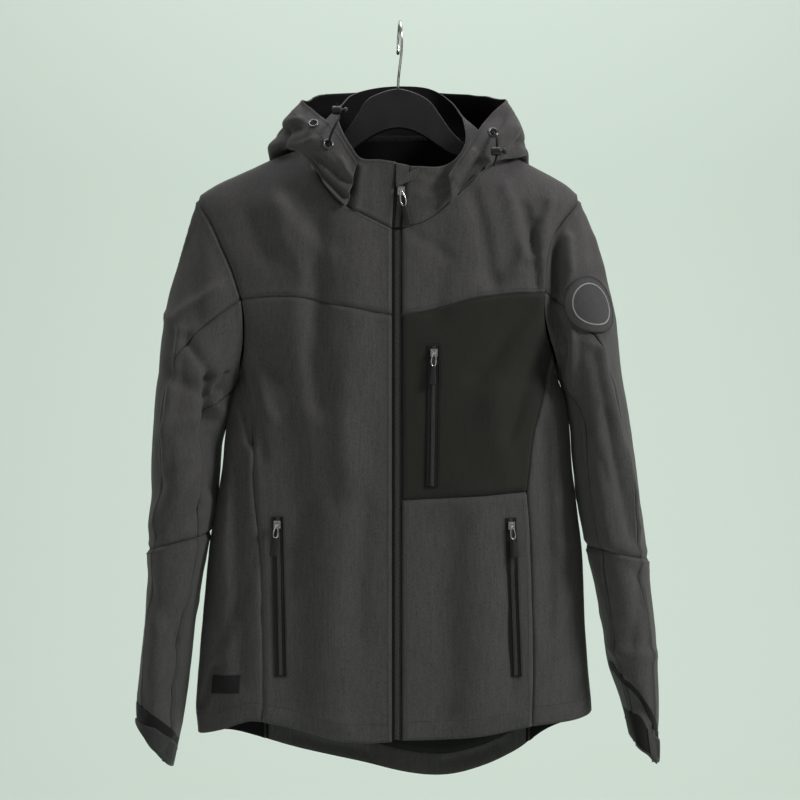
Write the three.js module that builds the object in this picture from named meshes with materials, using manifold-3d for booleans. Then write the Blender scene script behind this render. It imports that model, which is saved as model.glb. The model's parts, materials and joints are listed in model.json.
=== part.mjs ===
// Softshell jacket on a hanger, hung by its hook from a rail. Millimetres, +Z up.
// The origin is the centre of the hook's round bend, where the rail runs. +X is to a
// viewer's right, so the wearer's right side is -X. -Y is the front.
// Every cloth piece is a thin wall on a patch of a shared surface, cut along shared seams.
import * as THREE from 'three';
import { mergeVertices } from 'three/addons/utils/BufferGeometryUtils.js';
import Module from 'manifold-3d';

const wasm = await Module();
wasm.setup();

// Cloth and seams
const WALL = 1.6;            // softshell, knit face and fleece back
const LINING = 1.0;          // lining and facing
const SEAM = 0.15;           // each piece stops this far from its seam
const LAID = 0.3;            // air under a piece that lies on a panel
const ROUND = 2.5;           // power of the torso's superellipse section
const SHOULDER_ROLL = 120;   // height in which the shoulder rounds over

// The torso by height: edges as seen from the front, depth of front and back
const TORSO = [
  { z: -889, right: -240, left: 232, front: 60, back: 56 },
  { z: -829, right: -240, left: 232.6, front: 60, back: 56 },
  { z: -795, right: -242.4, left: 231.6, front: 61, back: 56 },
  { z: -731, right: -237.6, left: 226, front: 62, back: 56 },
  { z: -671, right: -232.4, left: 222.5, front: 64, back: 57 },
  { z: -611, right: -226.8, left: 218.5, front: 66, back: 58 },
  { z: -551, right: -217.2, left: 212, front: 68, back: 59 },
  { z: -516, right: -211, left: 208, front: 69, back: 60 },
  { z: -467, right: -205, left: 202, front: 70, back: 60 },
  { z: -430, right: -196.5, left: 195.5, front: 70, back: 61 },
  { z: -402, right: -190.5, left: 190.2, front: 70, back: 62 },
  { z: -388, right: -192, left: 191.5, front: 70, back: 62 },
  { z: -374, right: -200, left: 195, front: 70, back: 62 },
  { z: -352, right: -218, left: 205, front: 70, back: 62 },
  { z: -325, right: -232, left: 217, front: 70, back: 62 },
  { z: -290, right: -239, left: 220, front: 69, back: 62 },
  { z: -250, right: -239, left: 217, front: 67, back: 62 },
  { z: -216, right: -243, left: 219, front: 65, back: 61 },
  { z: -190, right: -250, left: 226, front: 63, back: 60 },
  { z: -110, right: -255, left: 230, front: 60, back: 60 },
];

// The shoulder line, and above the neck the crest that the neck seams are cut from
const SHOULDER = [
  { x: -240, z: -190 }, { x: -237, z: -186.5 }, { x: -227.5, z: -179.4 },
  { x: -213, z: -171 }, { x: -188, z: -160 }, { x: -148, z: -141.7 },
  { x: -102, z: -121 }, { x: -50, z: -76 }, { x: 2, z: -58 }, { x: 54, z: -77 },
  { x: 105, z: -123 }, { x: 153, z: -147 }, { x: 189, z: -166 },
  { x: 203, z: -174.6 }, { x: 214, z: -185 }, { x: 217, z: -190 },
];

// Largest folds of the torso: a soft trough (negative) or ridge along a line
const FOLDS = [
  { face: -1, x: -122, z: -600, lean: 0.02, length: 190, width: 26, rise: -3.5 },
  { face: -1, x: -66, z: -640, lean: -0.04, length: 190, width: 30, rise: 2.5 },
  { face: -1, x: -150, z: -245, lean: 0.55, length: 70, width: 15, rise: -3 },
  { face: -1, x: -112, z: -232, lean: 0.75, length: 60, width: 14, rise: 2.5 },
  { face: -1, x: 140, z: -240, lean: -0.6, length: 65, width: 15, rise: -3 },
  { face: -1, x: 95, z: -650, lean: 0.03, length: 150, width: 28, rise: 2.5 },
  { face: -1, x: 60, z: -700, lean: 0.05, length: 120, width: 22, rise: -2.5 },
  { face: 1, x: -95, z: -560, lean: -0.05, length: 200, width: 28, rise: -3.5 },
  { face: 1, x: -20, z: -640, lean: 0.04, length: 200, width: 30, rise: 3 },
  { face: 1, x: 80, z: -600, lean: 0.06, length: 190, width: 28, rise: -3.5 },
];

// Seams and edges of the front, each a list of [x, z]
const YOKE_RIGHT = [[-7.3, -331.7], [-20, -329.8], [-68, -321], [-121, -310.5], [-185.3, -312]];
const YOKE_LEFT = [[5.2, -331.7], [23.5, -329.7], [46.6, -324.6], [83, -314], [120, -307.8], [173.6, -304]];
const YOKE_BACK = [[-185.3, -312], [-120, -296], [0, -290], [105, -294], [173.6, -304]];
const ARMHOLE_RIGHT = {
  top: [[-240, -190], [-237, -198], [-224, -218], [-209, -249], [-197, -276], [-188, -303], [-185.3, -312]],
  middle: [[-185.3, -312], [-182.6, -330], [-182, -352], [-184, -374], [-187.6, -389]],
  under: [[-187.6, -389], [-189.6, -397], [-190.5, -402]],
};
const ARMHOLE_LEFT = {
  top: [[217, -190], [214, -197], [198.6, -215], [184.9, -237], [178.6, -259],
    [174.6, -285], [173.6, -304]],
  middle: [[173.6, -304], [172.6, -322], [175.5, -346], [180.5, -365], [184.6, -377]],
  under: [[184.6, -377], [188.4, -392], [190.2, -402]],
};
const SIDE_SEAM_RIGHT = [[-187.6, -389], [-176.7, -438.5], [-172.6, -470], [-169.9, -538.8],
  [-162.8, -613], [-160.4, -700], [-159.6, -788], [-160.4, -811.7]];
const SIDE_SEAM_LEFT_TOP = [[184.6, -377], [169.7, -437], [159.2, -478.6], [154.4, -519.8], [152, -539.8]];
const SIDE_SEAM_LEFT_LOW = [[152, -539.8], [155.6, -590], [158.1, -656], [159.9, -744], [158.3, -816.5]];
const BACK_SEAM_RIGHT = [[-187.6, -389], [-178, -440], [-172, -540], [-166, -700], [-162, -843]];
const BACK_SEAM_LEFT = [[184.6, -377], [174, -440], [166, -540], [163, -700], [160, -846]];
const CHEST_EDGE = [[5.2, -549.5], [48.2, -547], [105.9, -543.9], [152, -539.8]];
const NECK_RIGHT = [[-7.3, -230.5], [-35.4, -216.4], [-57, -206], [-70, -199], [-81, -187],
  [-92, -171], [-100, -151], [-103, -134], [-102, -121]];
const NECK_LEFT = [[5.2, -230.5], [29, -223], [39, -217.6], [56, -204], [70, -190], [84, -178],
  [97, -160], [104, -140], [105, -123]];
const NECK_BACK = [[-102, -121], [-86, -118], [-52, -115], [2, -113.5], [55, -115], [89, -119],
  [105, -123]];
const ZIP_RIGHT = [[-7.3, -331.7], [-7.3, -230.5]];
const ZIP_LEFT = [[5.2, -331.7], [5.2, -230.5]];
const HEM_RIGHT = [[-7.3, -833.9], [-35.8, -835.4], [-70.5, -832.2], [-114, -821.5], [-160.4, -811.7]];
const HEM_LEFT = [[5.2, -832.2], [55, -831], [104.8, -826.8], [158.3, -816.5]];
const HEM_SIDE_RIGHT = [[-160.4, -811.7], [-176, -811.3], [-208, -822], [-232, -828], [-240, -829]];
const HEM_SIDE_LEFT = [[158.3, -816.5], [186.7, -813.8], [211.8, -810.5], [227, -806], [231.9, -803]];
const HEM_BACK_RIGHT = [[-162, -843], [-200, -832], [-228, -829.2], [-240, -829]];
const HEM_BACK_LEFT = [[160, -846], [181, -831], [215, -815], [229, -805.5], [231.9, -803]];
const HEM_BACK = [[-162, -843], [-123, -855], [-51, -872], [6, -885], [38, -889], [67, -887.7],
  [110, -875], [145, -857], [160, -846]];

// Divisions along the seams that two pieces share
const ROWS = { armTop: 8, armMiddle: 5, armUnder: 3, side: 13, chest: 4, zipAbove: 3, neck: 5 };
const COLUMNS = { front: 6, backNeck: 6 };

// Sleeve rings: outer and inner edge as seen from the front, and half the depth
const SLEEVE_RIGHT = [
  { outerX: -240, outerZ: -190, innerX: -190.5, innerZ: -402, depth: 48 },
  { outerX: -252, outerZ: -225, innerX: -194.5, innerZ: -411, depth: 54 },
  { outerX: -265, outerZ: -270, innerX: -199.5, innerZ: -421, depth: 60 },
  { outerX: -277, outerZ: -316, innerX: -205, innerZ: -433, depth: 65 },
  { outerX: -284, outerZ: -362, innerX: -212, innerZ: -447, depth: 69 },
  { outerX: -289, outerZ: -410, innerX: -220, innerZ: -463, depth: 71 },
  { outerX: -293.5, outerZ: -462, innerX: -227, innerZ: -486, depth: 72 },
  { outerX: -295.3, outerZ: -510, innerX: -226.5, innerZ: -516, depth: 71 },
  { outerX: -296.5, outerZ: -555, innerX: -223, innerZ: -552, depth: 69 },
  { outerX: -300, outerZ: -610, innerX: -230.5, innerZ: -588, depth: 66 },
  { outerX: -300.5, outerZ: -650, innerX: -236, innerZ: -640, depth: 62 },
  { outerX: -303.5, outerZ: -700, innerX: -242, innerZ: -690, depth: 58 },
  { outerX: -309, outerZ: -752, innerX: -248, innerZ: -742, depth: 54 },
  { outerX: -313, outerZ: -792, innerX: -255, innerZ: -800, depth: 50 },
  { outerX: -312.5, outerZ: -816, innerX: -269, innerZ: -870, depth: 47 },
];
const SLEEVE_LEFT = [
  { outerX: 217, outerZ: -190, innerX: 190.2, innerZ: -402, depth: 46 },
  { outerX: 231, outerZ: -223, innerX: 194.5, innerZ: -410, depth: 53 },
  { outerX: 245, outerZ: -266, innerX: 199, innerZ: -419, depth: 60 },
  { outerX: 257, outerZ: -311, innerX: 203.5, innerZ: -430, depth: 65 },
  { outerX: 264.5, outerZ: -358, innerX: 207.5, innerZ: -444, depth: 69 },
  { outerX: 270, outerZ: -406, innerX: 211, innerZ: -460, depth: 71 },
  { outerX: 277, outerZ: -452, innerX: 214.5, innerZ: -482, depth: 72 },
  { outerX: 284, outerZ: -503, innerX: 217.5, innerZ: -510, depth: 71 },
  { outerX: 290, outerZ: -549, innerX: 223, innerZ: -552, depth: 69 },
  { outerX: 300.5, outerZ: -620, innerX: 232.5, innerZ: -606, depth: 66 },
  { outerX: 303, outerZ: -660, innerX: 239, innerZ: -655, depth: 62 },
  { outerX: 308, outerZ: -705, innerX: 245.5, innerZ: -702, depth: 58 },
  { outerX: 311, outerZ: -750, innerX: 252, innerZ: -748, depth: 54 },
  { outerX: 312.5, outerZ: -806, innerX: 268.5, innerZ: -796, depth: 49 },
  { outerX: 311, outerZ: -867, innerX: 277, innerZ: -832, depth: 45 },
];
const AROUND = 32;           // points of the armhole, and of every sleeve ring
const ELBOW = 9;             // ring of the elbow seam
const SETTLE = 6;            // ring where the armhole's own shape has faded out
const SLEEVE_ROWS = { upper: 10, fore: 6 };
const FRONT_SEAM = { start: 8, end: 4.3 };    // seam of the sleeve's front, in ring points
const INNER_SEAM = { start: 16, end: 11.6 };

// Collar: its top edge from the zip round the back to the zip
const COLLAR_TOP_RIGHT = [[-2.2, -65.4, -152], [-20, -65, -149], [-43, -60, -147], [-56, -49, -130],
  [-66, -34, -112], [-72, -12, -92], [-69, 8, -77]];
const COLLAR_TOP_BACK = [[-69, 8, -77], [-58, 34, -62], [-34, 52, -52], [3, 58, -48], [40, 54, -52],
  [66, 38, -70], [78, 18, -90]];
const COLLAR_TOP_LEFT = [[11.5, -65.4, -156.5], [28, -65, -157], [48, -60, -157], [62, -50, -151],
  [74, -33, -138], [81, -14, -120], [78, 18, -90]];
const COLLAR_ROWS = 4;

// Hood, lying open round the collar: where it leaves the neck, its lower fold,
// its belly and the free edge, from the wearer's right front round the back
const HOOD = [
  { neck: [-56, -69, -171], fold: [-59, -72, -165], belly: [-56, -74, -158], edge: [-50, -73, -152] },
  { neck: [-86, -68, -163], fold: [-99, -66, -146], belly: [-91, -68, -129], edge: [-73, -62, -118] },
  { neck: [-104, -58, -146], fold: [-118, -50, -131], belly: [-112, -56, -111], edge: [-94, -47, -95] },
  { neck: [-116, -36, -134], fold: [-133, -28, -127], belly: [-128, -34, -99], edge: [-112, -24, -77] },
  { neck: [-112, -2, -121], fold: [-150, 4, -136], belly: [-144, 6, -107], edge: [-108, 18, -71] },
  { neck: [-97, 34, -121], fold: [-140, 64, -196], belly: [-138, 90, -128], edge: [-93, 62, -59] },
  { neck: [-52, 54, -121], fold: [-84, 84, -288], belly: [-86, 118, -190], edge: [-54, 98, -51] },
  { neck: [2, 58.5, -121], fold: [4, 90, -322], belly: [4, 133, -205], edge: [4, 110, -47] },
  { neck: [56, 54, -121], fold: [90, 84, -288], belly: [93, 118, -190], edge: [62, 98, -52] },
  { neck: [100, 34, -122], fold: [147, 64, -198], belly: [145, 90, -130], edge: [101, 62, -60] },
  { neck: [116, -2, -121], fold: [154, 4, -139], belly: [149, 6, -112], edge: [121, 18, -69] },
  { neck: [120, -36, -140], fold: [144, -25, -140], belly: [141, -32, -104], edge: [127, -22, -76] },
  { neck: [108, -56, -152], fold: [124, -46, -142], belly: [119, -54, -118], edge: [103, -47, -102] },
  { neck: [90, -67, -168], fold: [102, -62, -152], belly: [97, -66, -141], edge: [83, -62, -133] },
  { neck: [66, -70, -185], fold: [69, -72, -178], belly: [66, -74, -171], edge: [60, -72, -167] },
];
const HOOD_ROWS = { around: 28, section: 12 };

// Small pieces on the sleeves
const ARM_GAP = 0.45;        // the sleeve's edge stands this far off the torso's edge
const CUFF_TAB = { from: 13.25, to: 13.8, start: 2, end: 11.5, columns: 10, thick: 1.6 };
const BADGE = {
  x: 229.7, z: -318.9, radius: 34, seenWidth: 0.78, ring: 3, turn: 7, spokes: 20, thick: 1.2, rise: 0.95,
};
const INSIDE = {
  from: -138, to: 138, top: -420, facing: 27, clear: 1.5, edge: 1, hemSteps: 40,
  grid: { rows: 6, columns: 12, facingColumns: 16 },
};
const GARAGE = {
  upper: { from: [-3, -67.4, -172], to: [27, -67.4, -158] },
  lower: { from: [-2.4, -67.4, -181.5], to: [19, -67.4, -173] }, columns: 4,
};
const LABEL = {
  top: [-204, -758], bottom: [-204.5, -779], width: 34, thick: 1, rise: 0.6, rows: 2, columns: 2,
};

// Collar and hood
const COLLAR_GAP = 0.45;
const COLLAR_BOW = { middle: 3, reach: 60, out: 5 };
const EYELET_LIFT = 0.45;

// Zips
const MAIN_ZIP = {
  width: 11.8, sink: 0.6, tape: 1.2, teeth: 1, rows: 20, collarRows: 4,
  top: [-1.05, -230.6], bottom: [-1.05, -832],
  collarTop: [4.7, -64.7, -160], collarFoot: [-0.9, -65.2, -230.2],
};
const POCKET_ZIP = { tape: 1, teeth: 0.8, rows: 8 };
const POCKETS = [
  { name: 'right', top: [-142, -569], bottom: [-138.3, -757.6], width: 13 },
  { name: 'left', top: [132.4, -570], bottom: [139.4, -757.6], width: 13 },
  { name: 'chest', top: [42.3, -366.9], bottom: [40, -533.5], width: 14 },
];
const SLIDER = { plate: 2, pinRise: 1.9, bridge: 2.3, bridgeWide: 2.4, eye: 1.35 };
const PIN_OUT = SLIDER.plate + SLIDER.pinRise;
const PULL = { wire: 0.7, tabThick: 2.2 };
const BIG_PULL = { wide: 8.4, tall: 10, loopWide: 9, loop: 19, tabTop: 5, tabFoot: 9, tab: 24 };
const SMALL_PULL = { wide: 8, tall: 9, loopWide: 8, loop: 17, tabTop: 5, tabFoot: 9, tab: 22 };
const PULLS = [
  { name: 'main', at: [3.9, -186], size: BIG_PULL, swing: -0.2 },
  { name: 'right', at: [-141.8, -578], size: SMALL_PULL, swing: 0.12 },
  { name: 'left', at: [132.7, -579], size: SMALL_PULL, swing: -0.12 },
  { name: 'chest', at: [42.2, -376], size: SMALL_PULL, swing: 0.05 },
];

// Drawcord of the hood: an eyelet each side, a cord and its lock
const EYELETS = [
  { name: 'eyelet_right_upper', x: -99.8, z: -106.9, start: [0.13, 0.85] },
  { name: 'eyelet_right', x: -80.9, z: -132.7, start: [0.07, 0.8] },
  { name: 'eyelet_left', x: 111.8, z: -117.3, start: [0.86, 0.8] },
];
const EYELET_PROFILE = [[1.8, 0], [6, 0], [6, 0.7], [4.6, 1.6], [3, 1.6], [1.8, 1], [1.8, 0]];
const CORD = { radius: 1.4, sides: 8, steps: 20, out: 1.1, clear: 5 };
const CORDS = [
  { name: 'drawcord_right', off: 'eyelet_right',
    path: [[-78.5, -79, -122], [-72.5, -78, -109], [-69.5, -69, -101], [-69.5, -59, -96.6],
      [-70, -52.5, -96.1]] },
  { name: 'drawcord_left', off: 'eyelet_left',
    path: [[115.5, -70, -123], [116, -74, -129], [116, -74, -134.6]] },
];
const LOCKS = [
  { name: 'cord_lock_right', at: [-71, -51.5, -89.6] },
  { name: 'cord_lock_left', at: [116, -74, -140.2] },
];
const LOCK_PROFILE = [[0, -7], [4, -7], [5.2, -5.5], [5.2, 3.5], [4.2, 5], [2, 5], [2, 7],
  [3.6, 8.4], [3.6, 10.2], [2.4, 11.6], [0, 12]];

// Hanger and hook
const HANGER = {
  half: 6, bevel: 5, under: 3, drop: 21, neck: 110, from: -216, to: 197, slant: 4, steps: 5,
};
const HANGER_DOME = [[-92, -131], [-66, -112], [-49, -89], [-37.5, -71.5], [-21.6, -63], [0, -58],
  [22, -63.5], [38, -73], [51, -90], [68, -113], [95, -133]];
const HANGER_NOTCH = [[62, -136], [49, -127.8], [22, -111], [0.7, -106], [-21, -111], [-48, -127],
  [-60, -136]];
const RAIL = 21.1;           // radius of the rail that the hook takes
const WIRE = 1.6;
const HOOK_WIRE = { sides: 8, steps: 32 };
const HOOK_FRONT = [[0, 0, -57.4], [0.4, -4, -48], [2, -13, -34], [4, -20.5, -18]];
const HOOK_TIP = [0, 21, -13];
const HOOK_ROUND = { start: 1.02, startX: 4.4, steps: 7 };  // start is in half turns

// Finishes
const look = (color, roughness, metalness = 0) => (
  new THREE.MeshStandardMaterial({ color, roughness, metalness }));
const CLOTH = look(0x454643, 0.85);
const CHEST_CLOTH = look(0x26261f, 0.85);
const BLACK_CLOTH = look(0x111110, 0.8);
const BLACK_PLASTIC = look(0x161614, 0.45);
const SILVER = look(0xb9bab6, 0.3, 1);
const GUNMETAL = look(0x55565a, 0.35, 1);

const jacket = new THREE.Group();

function add(name, geometry, material) {
  const mesh = new THREE.Mesh(geometry, material);
  mesh.name = name;
  jacket.add(mesh);
  return mesh;
}

// Smooth value between a table's rows: a cubic whose slope is that of the neighbours
function smooth(table, key, column, at) {
  const last = table.length - 1;
  const start = Math.max(0, Math.min(last - 1, table.findIndex((row) => row[key] > at) - 1));
  const i = at >= table[last][key] ? last - 1 : start;
  const slope = (k) => {
    const a = table[Math.max(0, k - 1)];
    const b = table[Math.min(last, k + 1)];
    return (b[column] - a[column]) / (b[key] - a[key]);
  };
  const step = table[i + 1][key] - table[i][key];
  const t = Math.max(0, Math.min(1, (at - table[i][key]) / step));
  return table[i][column] * (1 + 2 * t) * (1 - t) ** 2
    + table[i + 1][column] * t * t * (3 - 2 * t)
    + step * (slope(i) * t * (1 - t) ** 2 - slope(i + 1) * t * t * (1 - t));
}

const lerp = (a, b, t) => a + (b - a) * t;
const mix = (a, b, t) => a.map((value, k) => lerp(value, b[k], t));
const plus = (a, b, t = 1) => a.map((value, k) => value + b[k] * t);
const minus = (a, b) => a.map((value, k) => value - b[k]);
const dot = (a, b) => a.reduce((sum, value, k) => sum + value * b[k], 0);
const unit = (a) => a.map((value) => value / (Math.hypot(...a) || 1));
const cross = (a, b) => [a[1] * b[2] - a[2] * b[1], a[2] * b[0] - a[0] * b[2], a[0] * b[1] - a[1] * b[0]];

// Rise of the folds at a point of the front (face -1) or back (face 1)
function foldRise(x, z, face) {
  let rise = 0;
  for (const fold of FOLDS) {
    if (fold.face !== face) continue;
    const along = z - fold.z;
    const across = x - fold.x - fold.lean * along;
    rise += fold.rise * Math.exp(-((across / fold.width) ** 2) - (along / fold.length) ** 2 * 1.6);
  }
  return rise;
}

const torsoEdge = (x, z) => Math.abs(smooth(TORSO, 'z', x < 0 ? 'right' : 'left', z));

// Share of the full depth at a point: 1 in the middle, 0 at the edges and the shoulder line
function fullness(x, z) {
  const u = Math.abs(x) / torsoEdge(x, z);
  const section = Math.max(0, 1 - u ** ROUND) ** (1 / ROUND);
  const below = Math.max(0, Math.min(1, (smooth(SHOULDER, 'x', 'z', x) - z) / SHOULDER_ROLL));
  return section * Math.sqrt(1 - (1 - below) ** 2);
}

function torsoDepth(x, z, face) {
  const share = fullness(x, z);
  return share * (smooth(TORSO, 'z', face < 0 ? 'front' : 'back', z) + foldRise(x, z, face));
}

const onTorso = (x, z, face) => [x, face * torsoDepth(x, z, face), z];

// Outward normal of the torso: the slope of (y / depth)^2 - fullness^2
function torsoNormal([x, y, z]) {
  const face = y < 0 ? -1 : 1;
  const level = (px, py, pz) => {
    const depth = smooth(TORSO, 'z', face < 0 ? 'front' : 'back', pz) + foldRise(px, pz, face);
    return (py / depth) ** 2 - fullness(px, pz) ** 2;
  };
  const h = 0.05;
  return unit([
    level(x + h, y, z) - level(x - h, y, z),
    level(x, y + h, z) - level(x, y - h, z),
    level(x, y, z + h) - level(x, y, z - h),
  ]);
}

// Points along a drawn line, evenly spaced, on the front or back
function seam(points, divisions, face = -1) {
  const corners = points.map(([x, z]) => new THREE.Vector3(x, 0, z));
  const line = new THREE.CatmullRomCurve3(corners, false, 'centripetal');
  return line.getSpacedPoints(divisions).map((p) => onTorso(p.x, p.z, face));
}

const chain = (...lists) => lists.reduce((all, list) => all.concat(all.length ? list.slice(1) : list), []);
const turned = (list) => [...list].reverse();

// Fills a four-sided patch from its borders: the sum of the two rulings less the corners'
function fill(top, bottom, first, last, place = (p) => p) {
  const columns = top.length - 1;
  const rows = first.length - 1;
  return first.map((_, j) => top.map((__, i) => {
    const u = i / columns;
    const v = j / rows;
    if (j === 0) return top[i];
    if (j === rows) return bottom[i];
    if (i === 0) return first[j];
    if (i === columns) return last[j];
    const ruled = [0, 1, 2].map((k) => lerp(top[i][k], bottom[i][k], v) + lerp(first[j][k], last[j][k], u)
      - lerp(lerp(top[0][k], top[columns][k], u), lerp(bottom[0][k], bottom[columns][k], u), v));
    return place(ruled);
  }));
}

const fillTorso = (face, ...borders) => fill(...borders, ([x, , z]) => onTorso(x, z, face));

// Closed body from triangles over a list of points, turned so that it faces out
function solid(points, faces) {
  const volume = faces.reduce((sum, [a, b, c]) => sum + dot(points[a], cross(points[b], points[c])), 0);
  const turnedFaces = volume < 0 ? faces.map(([a, b, c]) => [a, c, b]) : faces;
  const geometry = new THREE.BufferGeometry();
  geometry.setAttribute('position', new THREE.Float32BufferAttribute(points.flat(), 3));
  geometry.setIndex(turnedFaces.flat());
  geometry.computeVertexNormals();
  return geometry;
}

// Moves a grid's border rows inwards along the cloth by the seam's share
function trim(grid, gap) {
  const rows = grid.length - 1;
  const columns = grid[0].length - 1;
  const pull = (p, inner) => plus(p, unit(minus(inner, p)), gap);
  const sides = grid.map((row) => row.map((p, i) => {
    if (i === 0) return pull(p, row[1]);
    return i === columns ? pull(p, row[columns - 1]) : p;
  }));
  return sides.map((row, j) => row.map((p, i) => {
    if (j === 0) return pull(p, sides[1][i]);
    return j === rows ? pull(p, sides[rows - 1][i]) : p;
  }));
}

// A wall between a grid of outer points and one of inner points
function wall(outer, inner) {
  const rows = outer.length - 1;
  const columns = outer[0].length - 1;
  const points = [...outer.flat(), ...inner.flat()];
  const at = (layer, j, i) => layer * (rows + 1) * (columns + 1) + j * (columns + 1) + i;
  const faces = [];
  const quad = (a, b, c, d) => faces.push([a, b, c], [a, c, d]);
  // An edge face is cut from its higher outer corner, so that two pieces' edges match
  const edge = (a, b, c, d) => (points[a][2] > points[d][2] ? quad(b, c, d, a) : quad(a, b, c, d));
  for (let j = 0; j < rows; j += 1) {
    for (let i = 0; i < columns; i += 1) {
      quad(at(0, j, i), at(0, j, i + 1), at(0, j + 1, i + 1), at(0, j + 1, i));
      quad(at(1, j + 1, i + 1), at(1, j, i + 1), at(1, j, i), at(1, j + 1, i));
    }
    edge(at(0, j + 1, 0), at(1, j + 1, 0), at(1, j, 0), at(0, j, 0));
    edge(at(0, j, columns), at(1, j, columns), at(1, j + 1, columns), at(0, j + 1, columns));
  }
  for (let i = 0; i < columns; i += 1) {
    quad(at(0, 0, i), at(1, 0, i), at(1, 0, i + 1), at(0, 0, i + 1));
    quad(at(0, rows, i + 1), at(1, rows, i + 1), at(1, rows, i), at(0, rows, i));
  }
  return solid(points, faces);
}

const offset = (grid, normals, distance) => (
  grid.map((row, j) => row.map((p, i) => plus(p, normals[j][i], distance))));

function torsoPiece(name, grid, material, outerRise = 0, thick = WALL, gap = SEAM) {
  const cut = trim(grid, gap);
  const normals = grid.map((row) => row.map(torsoNormal));
  add(name, wall(offset(cut, normals, outerRise), offset(cut, normals, outerRise - thick)), material);
}

// Armholes, from the shoulder down the front and up the back
const SIDES = {
  right: { sign: -1, arm: ARMHOLE_RIGHT, rings: SLEEVE_RIGHT },
  left: { sign: 1, arm: ARMHOLE_LEFT, rings: SLEEVE_LEFT },
};
for (const side of Object.values(SIDES)) {
  for (const [face, key] of [[-1, 'front'], [1, 'back']]) {
    side[key] = {
      top: seam(side.arm.top, ROWS.armTop, face),
      middle: seam(side.arm.middle, ROWS.armMiddle, face),
      under: seam(side.arm.under, ROWS.armUnder, face),
    };
  }
  const { front, back } = side;
  side.armhole = chain(front.top, front.middle, front.under,
    turned(back.under), turned(back.middle), turned(back.top));
}

// Front: yokes, main panels and the chest panel
function buildFronts() {
  const { right, left } = SIDES;
  const yokeRight = seam(YOKE_RIGHT, COLUMNS.front);
  const yokeLeft = seam(YOKE_LEFT, COLUMNS.front);
  const chestEdge = seam(CHEST_EDGE, COLUMNS.front);
  const neckSide = (zip, neck) => chain(seam(zip, ROWS.zipAbove), seam(neck, ROWS.neck));
  const shoulderRight = smoothShoulder(-102, -240, COLUMNS.front);
  const shoulderLeft = smoothShoulder(105, 217, COLUMNS.front);
  torsoPiece('front_yoke_right', fillTorso(-1, shoulderRight, yokeRight,
    turned(neckSide(ZIP_RIGHT, NECK_RIGHT)), right.front.top), CLOTH);
  torsoPiece('front_yoke_left', fillTorso(-1, shoulderLeft, yokeLeft,
    turned(neckSide(ZIP_LEFT, NECK_LEFT)), left.front.top), CLOTH);
  const sideRight = seam(SIDE_SEAM_RIGHT, ROWS.side);
  torsoPiece('front_panel_right', fillTorso(-1, yokeRight, seam(HEM_RIGHT, COLUMNS.front),
    seam([[-7.3, -331.7], [-7.3, -833.9]], ROWS.armMiddle + ROWS.side),
    chain(right.front.middle, sideRight)), CLOTH);
  const sideTop = seam(SIDE_SEAM_LEFT_TOP, ROWS.chest);
  const sideLow = seam(SIDE_SEAM_LEFT_LOW, ROWS.side - ROWS.chest);
  torsoPiece('chest_panel_left', fillTorso(-1, yokeLeft, chestEdge,
    seam([[5.2, -331.7], [5.2, -549.5]], ROWS.armMiddle + ROWS.chest),
    chain(left.front.middle, sideTop)), CHEST_CLOTH);
  torsoPiece('front_panel_left', fillTorso(-1, chestEdge, seam(HEM_LEFT, COLUMNS.front),
    seam([[5.2, -549.5], [5.2, -832.2]], ROWS.side - ROWS.chest), sideLow), CLOTH);
  return { sideRight, sideLeft: chain(sideTop, sideLow) };
}

// The shoulder line itself, from the neck out to the sleeve
function smoothShoulder(fromX, toX, divisions) {
  return Array.from({ length: divisions + 1 }, (_, i) => {
    const x = lerp(fromX, toX, i / divisions);
    return [x, 0, smooth(SHOULDER, 'x', 'z', x)];
  });
}

// Back: yoke and panel with the dropped tail
function buildBacks() {
  const { right, left } = SIDES;
  const top = chain(turned(smoothShoulder(-102, -240, COLUMNS.front)), seam(NECK_BACK, COLUMNS.backNeck, 1),
    smoothShoulder(105, 217, COLUMNS.front));
  const across = top.length - 1;
  const yokeSeam = seam(YOKE_BACK, across, 1);
  torsoPiece('back_yoke', fillTorso(1, top, yokeSeam, right.back.top, left.back.top), CLOTH);
  const seamRight = seam(BACK_SEAM_RIGHT, ROWS.side, 1);
  const seamLeft = seam(BACK_SEAM_LEFT, ROWS.side, 1);
  torsoPiece('back_panel', fillTorso(1, yokeSeam, seam(HEM_BACK, across, 1),
    chain(right.back.middle, seamRight), chain(left.back.middle, seamLeft)), CLOTH);
  return { seamRight, seamLeft };
}

// Side panel, round the side from the front seam to the back seam
function buildSide(name, sign, front, back, arm, hemFront, hemBack) {
  const angle = ([x, y, z]) => {
    const u = Math.min(1, Math.abs(x) / torsoEdge(x, z));
    return Math.sign(y) * Math.acos(u ** (ROUND / 2));
  };
  const place = ([bend, , z]) => {
    const x = sign * torsoEdge(sign, z) * Math.cos(bend) ** (2 / ROUND);
    return onTorso(x, z, bend < 0 ? -1 : 1);
  };
  const flat = (list) => list.map((p) => [angle(p), 0, p[2]]);
  const top = chain(arm.front.under, turned(arm.back.under));
  const bottom = chain(seam(hemFront, ROWS.armUnder), turned(seam(hemBack, ROWS.armUnder, 1)));
  const grid = fill(flat(top), flat(bottom), flat(front), flat(back));
  const exact = grid.map((row, j) => row.map((p, i) => {
    if (j === 0) return top[i];
    if (j === grid.length - 1) return bottom[i];
    if (i === 0) return front[j];
    return i === row.length - 1 ? back[j] : place(p);
  }));
  torsoPiece(name, exact, CLOTH);
}

const fronts = buildFronts();
const backs = buildBacks();
buildSide('side_panel_right', -1, fronts.sideRight, backs.seamRight, SIDES.right,
  HEM_SIDE_RIGHT, HEM_BACK_RIGHT);
buildSide('side_panel_left', 1, fronts.sideLeft, backs.seamLeft, SIDES.left,
  HEM_SIDE_LEFT, HEM_BACK_LEFT);

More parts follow.
